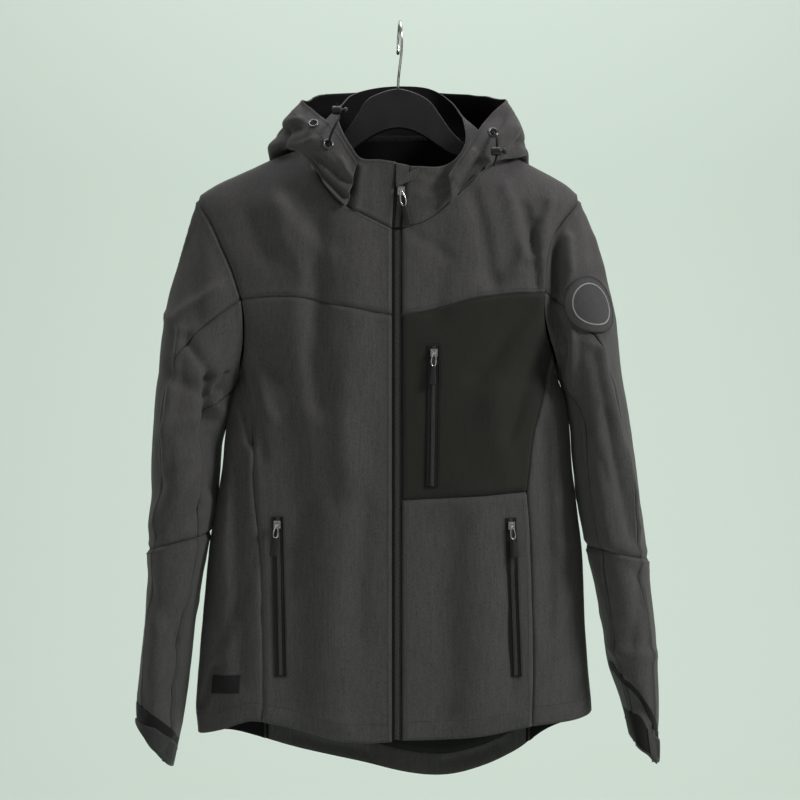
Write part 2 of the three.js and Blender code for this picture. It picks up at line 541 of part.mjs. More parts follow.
// Sleeves. A ring is an ellipse between its outer and inner edge; near the armhole
// the armhole's own departure from that ellipse is added and fades out by ring SETTLE.
function ringPoint(rings, w, s) {
  const rows = rings.map((row, k) => ({ ...row, ring: k }));
  const value = (column) => smooth(rows, 'ring', column, w);
  const outer = [value('outerX'), 0, value('outerZ')];
  const inner = [value('innerX'), 0, value('innerZ')];
  const bend = (2 * Math.PI * s) / AROUND;
  const middle = mix(outer, inner, 0.5);
  const reach = plus(outer, middle, -1);
  return [
    middle[0] + reach[0] * Math.cos(bend),
    -value('depth') * Math.sin(bend),
    middle[2] + reach[2] * Math.cos(bend),
  ];
}

function departure(side, s) {
  const turn = ((s % AROUND) + AROUND) % AROUND;
  const k = Math.floor(turn);
  const at = (n) => minus(side.armhole[n % AROUND], ringPoint(side.rings, 0, n % AROUND));
  return mix(at(k), at(k + 1), turn - k);
}

function sleevePoint(side, w, s) {
  const fade = Math.max(0, 1 - w / SETTLE) ** 2;
  const ring = ringPoint(side.rings, w, s);
  return fade > 0 ? plus(ring, departure(side, s), fade) : ring;
}

function sleeveNormal(side, w, s) {
  const step = 0.02;
  const down = minus(sleevePoint(side, w + step, s), sleevePoint(side, Math.max(0, w - step), s));
  const round = minus(sleevePoint(side, w, s + 0.3), sleevePoint(side, w, s - 0.3));
  return unit(cross(round, down)).map((value) => value * side.sign);
}

// Ring position of a lengthwise seam: it leaves the armhole and settles to one line
function seamAt(line, w) {
  const t = Math.min(1, w / SETTLE);
  return lerp(line.start, line.end, t * t * (3 - 2 * t));
}

// Piece of a sleeve between two seams; fromW and toW are rings, offsets are in mm
function sleeveGrid(fromW, toW, rows, columns, sFrom, sTo) {
  return Array.from({ length: rows + 1 }, (_, j) => Array.from({ length: columns + 1 }, (__, i) => {
    const w = lerp(fromW, toW, j / rows);
    return { w, s: lerp(sFrom(w), sTo(w), i / columns) };
  }));
}

function sleevePiece(name, side, places, material, armholeEdge, rise = 0, thick = WALL, gap = SEAM) {
  const points = places.map((row) => row.map(({ w, s }) => sleevePoint(side, w, s)));
  const normals = places.map((row) => row.map(({ w, s }) => sleeveNormal(side, w, s)));
  const cut = trim(points, gap);
  if (armholeEdge) {
    // The first row meets the torso's edge: it takes the torso's normal where the two
    // surfaces run on, and stands off the side panel where they fold back under the arm
    cut[0].forEach((p, i) => {
      const body = torsoNormal(points[0][i]);
      const agree = dot(body, normals[0][i]);
      const along = unit(minus(points[1][i], points[0][i]));
      cut[0][i] = plus(plus(p, along, ARM_GAP), body, ARM_GAP * (1 - Math.max(0, agree)));
      const share = Math.max(0, agree);
      normals[0][i] = unit(plus(normals[0][i].map((value) => value * (1 - share)), body, share));
    });
  }
  add(name, wall(offset(cut, normals, rise), offset(cut, normals, rise - thick)), material);
}

function buildSleeve(label, side) {
  const front = (w) => seamAt(FRONT_SEAM, w);
  const inner = (w) => seamAt(INNER_SEAM, w);
  const back = (w) => seamAt(FRONT_SEAM, w) + AROUND;
  const frontColumns = INNER_SEAM.start - FRONT_SEAM.start;
  const backColumns = AROUND - frontColumns;
  const end = side.rings.length - 1;
  sleevePiece(`sleeve_upper_front_${label}`, side,
    sleeveGrid(0, ELBOW, SLEEVE_ROWS.upper, frontColumns, front, inner), CLOTH, true);
  sleevePiece(`sleeve_upper_back_${label}`, side,
    sleeveGrid(0, ELBOW, SLEEVE_ROWS.upper, backColumns, inner, back), CLOTH, true);
  sleevePiece(`sleeve_lower_front_${label}`, side,
    sleeveGrid(ELBOW, end, SLEEVE_ROWS.fore, frontColumns, front, inner), CLOTH, false);
  sleevePiece(`sleeve_lower_back_${label}`, side,
    sleeveGrid(ELBOW, end, SLEEVE_ROWS.fore, backColumns, inner, back), CLOTH, false);
  sleevePiece(`cuff_tab_${label}`, side,
    sleeveGrid(CUFF_TAB.from, CUFF_TAB.to, 1, CUFF_TAB.columns, () => CUFF_TAB.start, () => CUFF_TAB.end),
    BLACK_CLOTH, false, LAID + CUFF_TAB.thick, CUFF_TAB.thick, 0);
}

for (const [label, side] of Object.entries(SIDES)) buildSleeve(label, side);

// The place on a surface that the front view shows at x, z, found by Newton's steps
function findPlace(surface, x, z, start) {
  let [a, b] = start;
  const h = 0.02;
  const tries = 12;
  for (let count = 0; count < tries; count += 1) {
    const p = surface(a, b);
    const pa = minus(surface(a + h, b), p).map((value) => value / h);
    const pb = minus(surface(a, b + h), p).map((value) => value / h);
    const det = pa[0] * pb[2] - pb[0] * pa[2];
    const dx = x - p[0];
    const dz = z - p[2];
    a += Math.max(-1, Math.min(1, (dx * pb[2] - pb[0] * dz) / det));
    b += Math.max(-1, Math.min(1, (pa[0] * dz - dx * pa[2]) / det));
  }
  return [a, b];
}

// Round badge on the left upper sleeve
function buildBadge() {
  const side = SIDES.left;
  const surface = (w, s) => sleevePoint(side, w, s);
  const rim = BADGE.spokes;
  let start = [BADGE.ring, BADGE.turn];
  const place = (radius, k) => {
    const bend = (2 * Math.PI * k) / rim;
    const x = BADGE.x + radius * BADGE.seenWidth * Math.cos(bend);
    const z = BADGE.z + radius * Math.sin(bend);
    return findPlace(surface, x, z, start);
  };
  start = place(0, 0);
  const rings = [BADGE.radius / 3, (BADGE.radius * 2) / 3, BADGE.radius];
  const circle = (radius) => Array.from({ length: rim }, (_, k) => place(radius, k));
  const spots = [start, ...rings.flatMap(circle)];
  const layer = (rise) => spots.map(([w, s]) => plus(surface(w, s), sleeveNormal(side, w, s), rise));
  const points = [...layer(BADGE.rise + BADGE.thick), ...layer(BADGE.rise)];
  const under = spots.length;
  const faces = [];
  const at = (ring, k) => 1 + ring * rim + (k % rim);
  for (let k = 0; k < rim; k += 1) {
    faces.push([0, at(0, k), at(0, k + 1)], [under, under + at(0, k + 1), under + at(0, k)]);
    for (let ring = 0; ring < rings.length - 1; ring += 1) {
      const [a, b, c, d] = [at(ring, k), at(ring + 1, k), at(ring + 1, k + 1), at(ring, k + 1)];
      faces.push([a, b, c], [a, c, d], [under + a, under + c, under + b], [under + a, under + d, under + c]);
    }
    const a = at(rings.length - 1, k);
    const b = at(rings.length - 1, k + 1);
    faces.push([a, under + a, under + b], [a, under + b, b]);
  }
  add('sleeve_badge', solid(points, faces), BLACK_CLOTH);
}
buildBadge();

// Label laid on the front by the hem: a grid round its middle line
function buildLabel() {
  const { top, bottom, width, rows, columns, thick, rise } = LABEL;
  const grid = Array.from({ length: rows + 1 }, (_, j) => Array.from({ length: columns + 1 }, (__, i) => {
    const [x, z] = mix(top, bottom, j / rows);
    return onTorso(x + width * (i / columns - 0.5), z, -1);
  }));
  torsoPiece('hem_label', grid, BLACK_CLOTH, rise + thick, thick, 0);
}
buildLabel();

// Collar: a wall from the neck seam up to the top edge, a little hollow to the outside
function fromList(points) {
  return new THREE.CatmullRomCurve3(points.map((p) => new THREE.Vector3(...p)), false, 'centripetal');
}
const evenly = (points, n) => fromList(points).getSpacedPoints(n).map((p) => [p.x, p.y, p.z]);

function gridNormals(grid, sign) {
  const rows = grid.length - 1;
  const columns = grid[0].length - 1;
  return grid.map((row, j) => row.map((_, i) => {
    const along = minus(row[Math.min(columns, i + 1)], row[Math.max(0, i - 1)]);
    const down = minus(grid[Math.min(rows, j + 1)][i], grid[Math.max(0, j - 1)][i]);
    return unit(cross(along, down)).map((value) => value * sign);
  }));
}

function collarGrid() {
  const { middle, reach, out } = COLLAR_BOW;
  const base = chain(seam(NECK_RIGHT, ROWS.neck), seam(NECK_BACK, COLUMNS.backNeck, 1),
    turned(seam(NECK_LEFT, ROWS.neck)));
  const top = chain(evenly(COLLAR_TOP_RIGHT, ROWS.neck), evenly(COLLAR_TOP_BACK, COLUMNS.backNeck),
    turned(evenly(COLLAR_TOP_LEFT, ROWS.neck)));
  return Array.from({ length: COLLAR_ROWS + 1 }, (_, j) => {
    const v = j / COLLAR_ROWS;
    return base.map((p, i) => {
      const seat = plus(p, unit(minus(top[i], p)), COLLAR_GAP);
      const q = mix(top[i], seat, v);
      const bow = Math.sin(Math.PI * v) * Math.min(1, ((q[0] - middle) / reach) ** 2);
      return plus(q, unit([q[0] - middle, q[1], 0]), out * bow);
    });
  });
}

function buildCollar() {
  const grid = collarGrid();
  const normals = gridNormals(grid, -1);
  const [first, second] = [ROWS.neck, ROWS.neck + COLUMNS.backNeck];
  const cuts = [['collar_front_right', 0, first], ['collar_back', first, second],
    ['collar_front_left', second, second + ROWS.neck]];
  for (const [name, from, to] of cuts) {
    const part = (list) => list.map((row) => row.slice(from, to + 1));
    const cut = trim(part(grid), SEAM);
    add(name, wall(cut, offset(cut, part(normals), -WALL)), CLOTH);
  }
}
buildCollar();

// Hood: at each station a curve from the neck over the lower fold and the belly to the edge
const hoodCurves = ['neck', 'fold', 'belly', 'edge'].map((key) => fromList(HOOD.map((row) => row[key])));
const within = (value) => Math.max(0, Math.min(1, value));
function hoodPoint(a, t) {
  const stops = hoodCurves.map((curve) => curve.getPoint(within(a)));
  const p = new THREE.CatmullRomCurve3(stops, false, 'centripetal').getPoint(within(t));
  return [p.x, p.y, p.z];
}
function hoodNormal(a, t) {
  const step = 0.01;
  const along = minus(hoodPoint(a + step, t), hoodPoint(a - step, t));
  const over = minus(hoodPoint(a, t + step), hoodPoint(a, t - step));
  return unit(cross(over, along));
}
function buildHood() {
  const { around, section } = HOOD_ROWS;
  const places = Array.from({ length: section + 1 }, (_, j) => (
    Array.from({ length: around + 1 }, (__, i) => [i / around, j / section])));
  const inside = places.map((row) => row.map(([a, t]) => hoodPoint(a, t)));
  const normals = places.map((row) => row.map(([a, t]) => hoodNormal(a, t)));
  add('hood', wall(offset(inside, normals, WALL), inside), CLOTH);
}
buildHood();

// Zips. A tape is carried down a line of points with a raised row of teeth in its middle
const TAPE_EDGE = 0.5;
const TEETH_EDGE = 0.22;
const TAPE_PROFILE = [[-TAPE_EDGE, -1], [-TAPE_EDGE, 0], [-TEETH_EDGE, 0], [-TEETH_EDGE, 1],
  [TEETH_EDGE, 1], [TEETH_EDGE, 0], [TAPE_EDGE, 0], [TAPE_EDGE, -1]];
function tape(name, centres, outs, width, thick, teeth) {
  const rows = centres.map((centre, j) => {
    const up = minus(centres[Math.max(0, j - 1)], centres[Math.min(centres.length - 1, j + 1)]);
    const across = unit(cross(unit(up), outs[j]));
    const place = ([u, v]) => plus(plus(centre, across, u * width), outs[j], v > 0 ? teeth : v * thick);
    return TAPE_PROFILE.map(place);
  });
  const size = TAPE_PROFILE.length;
  const faces = [];
  for (let j = 0; j < rows.length - 1; j += 1) {
    for (let k = 0; k < size; k += 1) {
      const [a, b] = [j * size + k, j * size + ((k + 1) % size)];
      faces.push([a, b, b + size], [a, b + size, a + size]);
    }
  }
  const outline = TAPE_PROFILE.map(([u, v]) => new THREE.Vector2(u * width, v));
  const cap = THREE.ShapeUtils.triangulateShape(outline, []);
  const lastRow = (rows.length - 1) * size;
  for (const [a, b, c] of cap) faces.push([a, b, c], [lastRow + a, lastRow + c, lastRow + b]);
  add(name, solid(rows.flat(), faces), BLACK_CLOTH);
}

function torsoTape(name, from, to, rows, width, sink, thick, teeth) {
  const line = Array.from({ length: rows + 1 }, (_, j) => onTorso(...mix(from, to, j / rows), -1));
  const outs = line.map(torsoNormal);
  tape(name, line.map((p, j) => plus(p, outs[j], sink)), outs, width, thick, teeth);
}

torsoTape('main_zip', MAIN_ZIP.top, MAIN_ZIP.bottom, MAIN_ZIP.rows, MAIN_ZIP.width,
  -MAIN_ZIP.sink, MAIN_ZIP.tape, MAIN_ZIP.teeth);
const collarZip = Array.from({ length: MAIN_ZIP.collarRows + 1 }, (_, j) => (
  mix(MAIN_ZIP.collarTop, MAIN_ZIP.collarFoot, j / MAIN_ZIP.collarRows)));
tape('collar_zip', collarZip, collarZip.map(() => [0, -1, 0]), MAIN_ZIP.width, MAIN_ZIP.tape, MAIN_ZIP.teeth);
for (const { name, top, bottom, width } of POCKETS) {
  const { tape: thick, teeth, rows } = POCKET_ZIP;
  torsoTape(`${name}_pocket_zip`, top, bottom, rows, width, LAID + thick, thick, teeth);
}

// Solids for joining and cutting
function toManifold(geometry) {
  const bare = geometry.clone();
  bare.deleteAttribute('normal');
  bare.deleteAttribute('uv');
  const merged = mergeVertices(bare, 1e-4);
  return new wasm.Manifold(new wasm.Mesh({
    numProp: 3,
    vertProperties: merged.attributes.position.array,
    triVerts: new Uint32Array(merged.index.array),
  }));
}
function toGeometry(manifold) {
  const { vertProperties, triVerts } = manifold.getMesh();
  const geometry = new THREE.BufferGeometry();
  geometry.setAttribute('position', new THREE.Float32BufferAttribute(vertProperties, 3));
  geometry.setIndex([...triVerts]);
  geometry.computeVertexNormals();
  return geometry;
}

// Slider and pull in their own frame: x across, -y out of the cloth, z up, with the
// hinge's axis along x through the origin. The pull hangs down.
function sliderGeometry(size) {
  const { plate: thick, bridge: round, bridgeWide, eye: hole } = SLIDER;
  const across = (radius, width, sides) => (
    toManifold(new THREE.CylinderGeometry(radius, radius, width, sides).rotateZ(Math.PI / 2)));
  const plate = new THREE.BoxGeometry(size.wide, thick, size.tall).translate(0, PIN_OUT - thick / 2, 0);
  const foot = new THREE.BoxGeometry(bridgeWide, PIN_OUT, round * 2).translate(0, PIN_OUT / 2, 0);
  const body = toManifold(plate).add(toManifold(foot)).add(across(round, bridgeWide, 16));
  return toGeometry(body.subtract(across(hole, bridgeWide * 3, 12)));
}

// A ring of wire, drawn out downwards: its lower half is moved down
function loopGeometry(size) {
  const radius = size.loopWide / 2 - PULL.wire;
  const ring = new THREE.TorusGeometry(radius, PULL.wire, 6, 16).rotateX(Math.PI / 2);
  const place = ring.getAttribute('position');
  for (let k = 0; k < place.count; k += 1) {
    const low = place.getZ(k) < -0.01 ? size.loop - 2 * radius : 0;
    place.setZ(k, place.getZ(k) - radius - low);
  }
  ring.computeVertexNormals();
  return ring;
}

function tabGeometry(size) {
  const top = -size.loop - PULL.wire - LAID;
  const [narrow, wide] = [size.tabTop / 2, size.tabFoot / 2];
  const corner = 2;
  const shape = new THREE.Shape();
  const foot = top - size.tab;
  shape.moveTo(-narrow, top).lineTo(-wide, foot + corner).lineTo(-wide + corner, foot)
    .lineTo(wide - corner, foot).lineTo(wide, foot + corner).lineTo(narrow, top).closePath();
  return new THREE.ExtrudeGeometry(shape, { depth: PULL.tabThick, bevelEnabled: false, steps: 1 })
    .translate(0, 0, -PULL.tabThick / 2).rotateX(Math.PI / 2);
}

for (const { name, at, size, swing } of PULLS) {
  const onCollar = name === 'main';
  const zip = onCollar ? MAIN_ZIP : POCKET_ZIP;
  const base = onCollar ? 0 : LAID + POCKET_ZIP.tape;
  const surface = onCollar ? [at[0], MAIN_ZIP.collarTop[1], at[1]] : onTorso(...at, -1);
  const out = onCollar ? [0, -1, 0] : unit([...torsoNormal(surface).slice(0, 2), 0]);
  const hinge = plus(surface, out, base + zip.teeth + LAID + PIN_OUT);
  const turn = Math.atan2(out[0], -out[1]);
  const parts = [
    ['slider', sliderGeometry(size), SILVER, 0],
    ['pull_loop', loopGeometry(size), SILVER, swing],
    ['pull_tab', tabGeometry(size), BLACK_PLASTIC, swing],
  ];
  for (const [part, geometry, material, lean] of parts) {
    const mesh = add(`${name}_${part}`, geometry, material);
    mesh.rotation.set(0, lean, turn, 'ZYX');
    mesh.position.set(...hinge);
  }
}

// Eyelets lie on the hood, cords leave them for their locks
const onHood = ([a, t], rise) => plus(hoodPoint(a, t), hoodNormal(a, t), WALL + rise);
const leaves = {};
for (const { name, x, z, start } of EYELETS) {
  const place = findPlace(hoodPoint, x, z, start);
  const profile = EYELET_PROFILE.map(([r, h]) => new THREE.Vector2(r, h));
  const mesh = add(name, new THREE.LatheGeometry(profile, 14), GUNMETAL);
  leaves[name] = [onHood(place, CORD.out), onHood(place, CORD.clear)];
  mesh.position.set(...onHood(place, EYELET_LIFT));
  const out = new THREE.Vector3(...hoodNormal(...place));
  mesh.quaternion.setFromUnitVectors(new THREE.Vector3(0, 1, 0), out);
}
function roundSection(radius, sides) {
  const shape = new THREE.Shape();
  for (let k = 0; k < sides; k += 1) {
    const bend = (2 * Math.PI * k) / sides;
    const [x, y] = [radius * Math.cos(bend), radius * Math.sin(bend)];
    if (k === 0) shape.moveTo(x, y);
    else shape.lineTo(x, y);
  }
  return shape.closePath();
}
function tube(points, radius, sides, steps) {
  const options = { extrudePath: fromList(points), steps, bevelEnabled: false };
  return new THREE.ExtrudeGeometry(roundSection(radius, sides), options);
}
for (const { name, off, path } of CORDS) {
  add(name, tube([...leaves[off], ...path], CORD.radius, CORD.sides, CORD.steps), BLACK_CLOTH);
}
for (const { name, at } of LOCKS) {
  const profile = LOCK_PROFILE.map(([r, h]) => new THREE.Vector2(r, h));
  const mesh = add(name, new THREE.LatheGeometry(profile, 14), BLACK_PLASTIC);
  mesh.rotation.set(0, 0, -Math.PI / 2);
  mesh.position.set(...at);
}

// Lining and hem facing inside the back, where the dropped tail shows them
function buildInside() {
  const hem = seam(HEM_BACK, INSIDE.hemSteps, 1);
  const hemAt = (x) => {
    const k = Math.max(1, hem.findIndex((p) => p[0] >= x));
    const t = (x - hem[k - 1][0]) / (hem[k][0] - hem[k - 1][0]);
    return lerp(hem[k - 1][2], hem[k][2], t);
  };
  const strip = (rows, columns, topAt, bottomAt) => Array.from({ length: rows + 1 }, (_, j) => (
    Array.from({ length: columns + 1 }, (__, i) => {
      const x = lerp(INSIDE.from, INSIDE.to, i / columns);
      return onTorso(x, lerp(topAt(x), bottomAt(x), j / rows), 1);
    })));
  const { rows, columns, facingColumns } = INSIDE.grid;
  const facing = strip(1, facingColumns, (x) => hemAt(x) + INSIDE.facing, (x) => hemAt(x) + INSIDE.edge);
  torsoPiece('back_hem_facing', facing, CLOTH, -WALL - LAID * 2, LINING);
  const lining = strip(rows, columns, () => INSIDE.top, (x) => hemAt(x) + INSIDE.facing + LAID * 2);
  torsoPiece('back_lining', lining, BLACK_CLOTH, -WALL - INSIDE.clear, LINING);
}
buildInside();

// Folded flap that parks the main slider at the collar's top
function buildGarage() {
  const { columns } = GARAGE;
  const row = ({ from, to }) => Array.from({ length: columns + 1 }, (_, i) => mix(from, to, i / columns));
  const grid = [row(GARAGE.upper), row(GARAGE.lower)];
  const outs = grid.map((points) => points.map(() => [0, -1, 0]));
  add('zip_garage', wall(offset(grid, outs, LINING), grid), BLACK_CLOTH);
}
buildGarage();

// Hanger: an arm under each shoulder line, a dome at the neck and a notch below
function buildHanger() {
  const arm = (from, to, n, lower) => Array.from({ length: n + 1 }, (_, k) => {
    const x = lerp(from, to, k / n);
    return [x, smooth(SHOULDER, 'x', 'z', x) - lower];
  });
  const { under, drop, neck, from, to, slant, steps } = HANGER;
  const outline = [
    ...arm(from, -neck, steps, under), ...HANGER_DOME, ...arm(neck, to, steps, under),
    ...arm(to - slant, neck, steps, under + drop), ...HANGER_NOTCH,
    ...arm(-neck, from + slant, steps, under + drop),
  ];
  const shape = new THREE.Shape(outline.map(([x, z]) => new THREE.Vector2(x, z)));
  const flat = HANGER.half - HANGER.bevel;
  return new THREE.ExtrudeGeometry(shape, {
    depth: 2 * flat, bevelEnabled: true, bevelSize: HANGER.bevel, bevelOffset: -HANGER.bevel,
    bevelThickness: HANGER.bevel, bevelSegments: 1, steps: 1,
  }).translate(0, 0, -flat).rotateX(Math.PI / 2);
}
add('hanger', buildHanger(), BLACK_PLASTIC);

// Hook: up in front of the rail, over it and down behind
function buildHook() {
  const reach = RAIL + WIRE + LAID;
  const { start, startX, steps } = HOOK_ROUND;
  const over = Array.from({ length: steps + 1 }, (_, k) => {
    const left = 1 - k / steps;
    const bend = Math.PI * start * left;
    return [startX * left, reach * Math.cos(bend), reach * Math.sin(bend)];
  });
  return tube([...HOOK_FRONT, ...over, HOOK_TIP], WIRE, HOOK_WIRE.sides, HOOK_WIRE.steps);
}
add('hook', buildHook(), SILVER);

export default jacket;
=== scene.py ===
# %% [markdown]
# # A softshell jacket on its hanger
# A real softshell is about a dozen flat cloth pieces, cut to a pattern and sewn together.
# On the hanger they turn into one hollow, soft form, so here every piece is a surface that is
# computed from that form and cut along the real seams.

import json
import math

import bpy
import numpy as np
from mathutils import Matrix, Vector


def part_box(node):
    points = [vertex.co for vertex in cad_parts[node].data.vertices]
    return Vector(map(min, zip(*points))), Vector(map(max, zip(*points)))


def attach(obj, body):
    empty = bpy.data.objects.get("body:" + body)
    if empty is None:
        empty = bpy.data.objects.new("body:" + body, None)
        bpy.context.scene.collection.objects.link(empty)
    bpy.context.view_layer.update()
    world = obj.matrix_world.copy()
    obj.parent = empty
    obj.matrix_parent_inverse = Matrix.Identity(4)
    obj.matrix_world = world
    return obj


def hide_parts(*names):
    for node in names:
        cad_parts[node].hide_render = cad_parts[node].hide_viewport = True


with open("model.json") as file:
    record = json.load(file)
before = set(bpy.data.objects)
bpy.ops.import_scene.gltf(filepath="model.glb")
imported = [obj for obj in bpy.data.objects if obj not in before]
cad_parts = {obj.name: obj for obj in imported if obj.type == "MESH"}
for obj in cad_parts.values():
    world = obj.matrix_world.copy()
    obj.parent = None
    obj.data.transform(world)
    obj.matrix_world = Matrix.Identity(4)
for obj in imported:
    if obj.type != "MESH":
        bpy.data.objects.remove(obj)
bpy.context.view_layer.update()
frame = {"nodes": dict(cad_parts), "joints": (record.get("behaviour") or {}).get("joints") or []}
MM = 0.001
print("nodes in the frame:", len(frame["nodes"]))

# %% [markdown]
# ## Camera
# The photo was taken straight on, from about three metres, at the height of the chest.
# A long lens from that place gives the same small perspective as the photo has.

# %% Camera
CAMERA = {"x": 0.0024, "away": 3.0, "height": -0.4314, "lens": 112.5, "sensor": 36.0}
camera = bpy.data.objects.new("camera", bpy.data.cameras.new("camera"))
bpy.context.scene.collection.objects.link(camera)
camera.location = (CAMERA["x"], -CAMERA["away"], CAMERA["height"])
camera.rotation_euler = (math.pi / 2, 0, 0)
camera.data.lens = CAMERA["lens"]
camera.data.sensor_width = CAMERA["sensor"]
bpy.context.scene.camera = camera

# %% [markdown]
# ## Smooth lines
# A pattern maker draws with a bendy ruler through a few points. The same thing in numbers is a
# cubic curve through points. Even spacing along it matters, because stitches and grid columns
# are laid out by length.


# %% Curves through points
def smooth(keys, values, at):
    """Value at a key: a cubic between two rows whose slopes are those of the rows' neighbours."""
    keys, values = np.asarray(keys, float), np.asarray(values, float)
    last = len(keys) - 1
    index = np.arange(last + 1)
    below, above = np.maximum(index - 1, 0), np.minimum(index + 1, last)
    spread = (keys[above] - keys[below]).reshape((-1,) + (1,) * (values.ndim - 1))
    slopes = (values[above] - values[below]) / spread
    at = np.asarray(at, float)
    i = np.clip(np.searchsorted(keys, at, side="right") - 1, 0, last - 1)
    step = keys[i + 1] - keys[i]
    t = np.clip((at - keys[i]) / step, 0, 1)
    if values.ndim > 1:
        step, t = step[..., None], t[..., None]
    ends = values[i] * (1 + 2 * t) * (1 - t) ** 2 + values[i + 1] * t * t * (3 - 2 * t)
    return ends + step * (slopes[i] * t * (1 - t) ** 2 - slopes[i + 1] * t * t * (1 - t))


def spline(points, share):
    """Point at a share of a line's spans: a cubic whose slopes follow the neighbouring points,
    with each gap weighted by the square root of its length."""
    p = np.asarray(points, float)
    p = np.concatenate([[2 * p[0] - p[1]], p, [2 * p[-1] - p[-2]]])
    share = np.asarray(share, float)
    at = np.clip(share, 0, 1) * (len(p) - 3)
    i = np.minimum(at.astype(int), len(p) - 4)
    t = (at - i).reshape(share.shape + (1,) * (p.ndim - 1))
    a, b, c, d = (p[i + k] for k in range(4))
    g0, g1, g2 = (
        np.sqrt(np.maximum(np.linalg.norm(r - q, axis=-1, keepdims=True), 1e-6))
        for q, r in ((a, b), (b, c), (c, d))
    )
    m1 = ((b - a) / g0 - (c - a) / (g0 + g1) + (c - b) / g1) * g1
    m2 = ((c - b) / g1 - (d - b) / (g1 + g2) + (d - c) / g2) * g1
    return (
        b * (1 + 2 * t) * (1 - t) ** 2
        + m1 * t * (1 - t) ** 2
        + c * t * t * (3 - 2 * t)
        - m2 * t * t * (1 - t)
    )


def lengths(points):
    """Distance along a row of points, from its start to each point."""
    steps = np.linalg.norm(np.diff(points, axis=0), axis=1)
    return np.concatenate([[0], np.cumsum(steps)])


def between(rows, along, at):
    """Rows of a line's table at given lengths: a straight step between its two nearest rows."""
    return np.stack([np.interp(at, along, column) for column in rows.T], axis=1)


def resample(points, count):
    """The same line with count + 1 points at equal distances."""
    points = np.asarray(points, float)
    along = lengths(points)
    return between(points, along, np.linspace(0, along[-1], count + 1))


FINE_STEPS = 60


def drawn(points, count):
    """A smooth line through points, cut into count equal steps."""
    return resample(spline(points, np.linspace(0, 1, FINE_STEPS * len(points))), count)


def unit(v):
    """Vectors of length one."""
    return v / np.maximum(np.linalg.norm(v, axis=-1, keepdims=True), 1e-9)


def quarter(share):
    """Height of a quarter circle: from 0 at its rim, steep at first, to 1 where the share is 1."""
    return np.sqrt(1 - (1 - share) ** 2)


# %% [markdown]
# ## Making meshes
# Cloth is drawn as a grid of points with a little thickness. Small repeated things, such as
# stitches and zip teeth, are made in one go as one mesh with many islands, since thousands of
# separate objects would be slow.


# %% Meshes from arrays
def link(name, vertices, faces, smooth_shading=True):
    """Mesh object from points in millimetres and faces with equal corner counts."""
    mesh = bpy.data.meshes.new(name)
    mesh.from_pydata((np.asarray(vertices, float) * MM).tolist(), [], np.asarray(faces).tolist())
    if smooth_shading:
        mesh.polygons.foreach_set("use_smooth", np.ones(len(mesh.polygons), bool))
    mesh.update()
    made = bpy.data.objects.new(name, mesh)
    bpy.context.scene.collection.objects.link(made)
    return made


def grid_faces(rows, columns, round_rows=False, round_columns=False):
    """Corners of every cell of a grid; a round direction closes on itself."""
    j = np.arange(rows if round_rows else rows - 1)[:, None]
    i = np.arange(columns if round_columns else columns - 1)[None, :]
    down, right = (j + 1) % rows, (i + 1) % columns
    corners = [j * columns + i, j * columns + right, down * columns + right, down * columns + i]
    return np.stack([np.broadcast_to(c, (len(j), i.shape[1])) for c in corners], -1).reshape(-1, 4)


def grid_normals(points):
    """Unit normals of a grid: the cross product of its two directions."""
    return unit(np.cross(np.gradient(points, axis=1), np.gradient(points, axis=0)))


def finish_piece(piece, material, body="root", nodes=()):
    """Gives a piece its finish, its body and the plain nodes it stands for."""
    piece.data.materials.append(material)
    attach(piece, body)
    if nodes:
        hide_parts(*nodes)
    return piece


def tube_mesh(name, path, radius, sides=12):
    """Round bar along a path, with closed ends; radius may change along it."""
    path = np.asarray(path, float)
    tangent = unit(np.gradient(path, axis=0))
    side = np.zeros_like(path)
    side[0] = unit(np.cross(tangent[0], [0.3, 0.2, 0.9]))
    for k in range(1, len(path)):
        side[k] = unit(side[k - 1] - tangent[k] * (side[k - 1] @ tangent[k]))
    other = np.cross(tangent, side)
    bend = np.linspace(0, 2 * np.pi, sides, endpoint=False)
    radius = np.broadcast_to(np.asarray(radius, float), (len(path),))[:, None, None]
    ring = side[:, None] * np.cos(bend)[:, None] + other[:, None] * np.sin(bend)[:, None]
    points = (path[:, None] + ring * radius).reshape(-1, 3)
    faces = grid_faces(len(path), sides, round_columns=True)
    made = link(name, points, faces[:, ::-1])
    close_ends(made, len(path), sides)
    return made


def close_ends(made, rows, sides):
    """Adds the two end faces of a round bar: its first and its last ring as one face each."""
    mesh = made.data
    quads = np.zeros(len(mesh.polygons) * 4, int)
    mesh.polygons.foreach_get("vertices", quads)
    co = np.zeros(len(mesh.vertices) * 3)
    mesh.vertices.foreach_get("co", co)
    faces = quads.reshape(-1, 4).tolist()
    first, final = list(range(sides)), list(range((rows - 1) * sides, rows * sides))
    mesh.clear_geometry()
    mesh.from_pydata(co.reshape(-1, 3).tolist(), [], faces + [first, final[::-1]])
    mesh.polygons.foreach_set("use_smooth", np.ones(len(mesh.polygons), bool))
    mesh.update()


# %% [markdown]
# ## Finishes
# The shell is a knit of dark and pale fibres, so its grey is a fine mix that runs with the
# wales. The chest panel is one plain olive-black cloth. Tapes and lining are black, the
# plastic is satin and the sliders are nickel plated. Each finish is worked out from the place
# on the object, so nothing is painted on by a picture.


# %% Node helpers
def node_of(tree, kind, inputs=(), **settings):
    """A shader node with its settings and input values or links."""
    made = tree.nodes.new(kind)
    for key, value in settings.items():
        setattr(made, key, value)
    for key, value in dict(inputs).items():
        if hasattr(value, "links"):
            tree.links.new(value, made.inputs[key])
        else:
            made.inputs[key].default_value = value
    return made


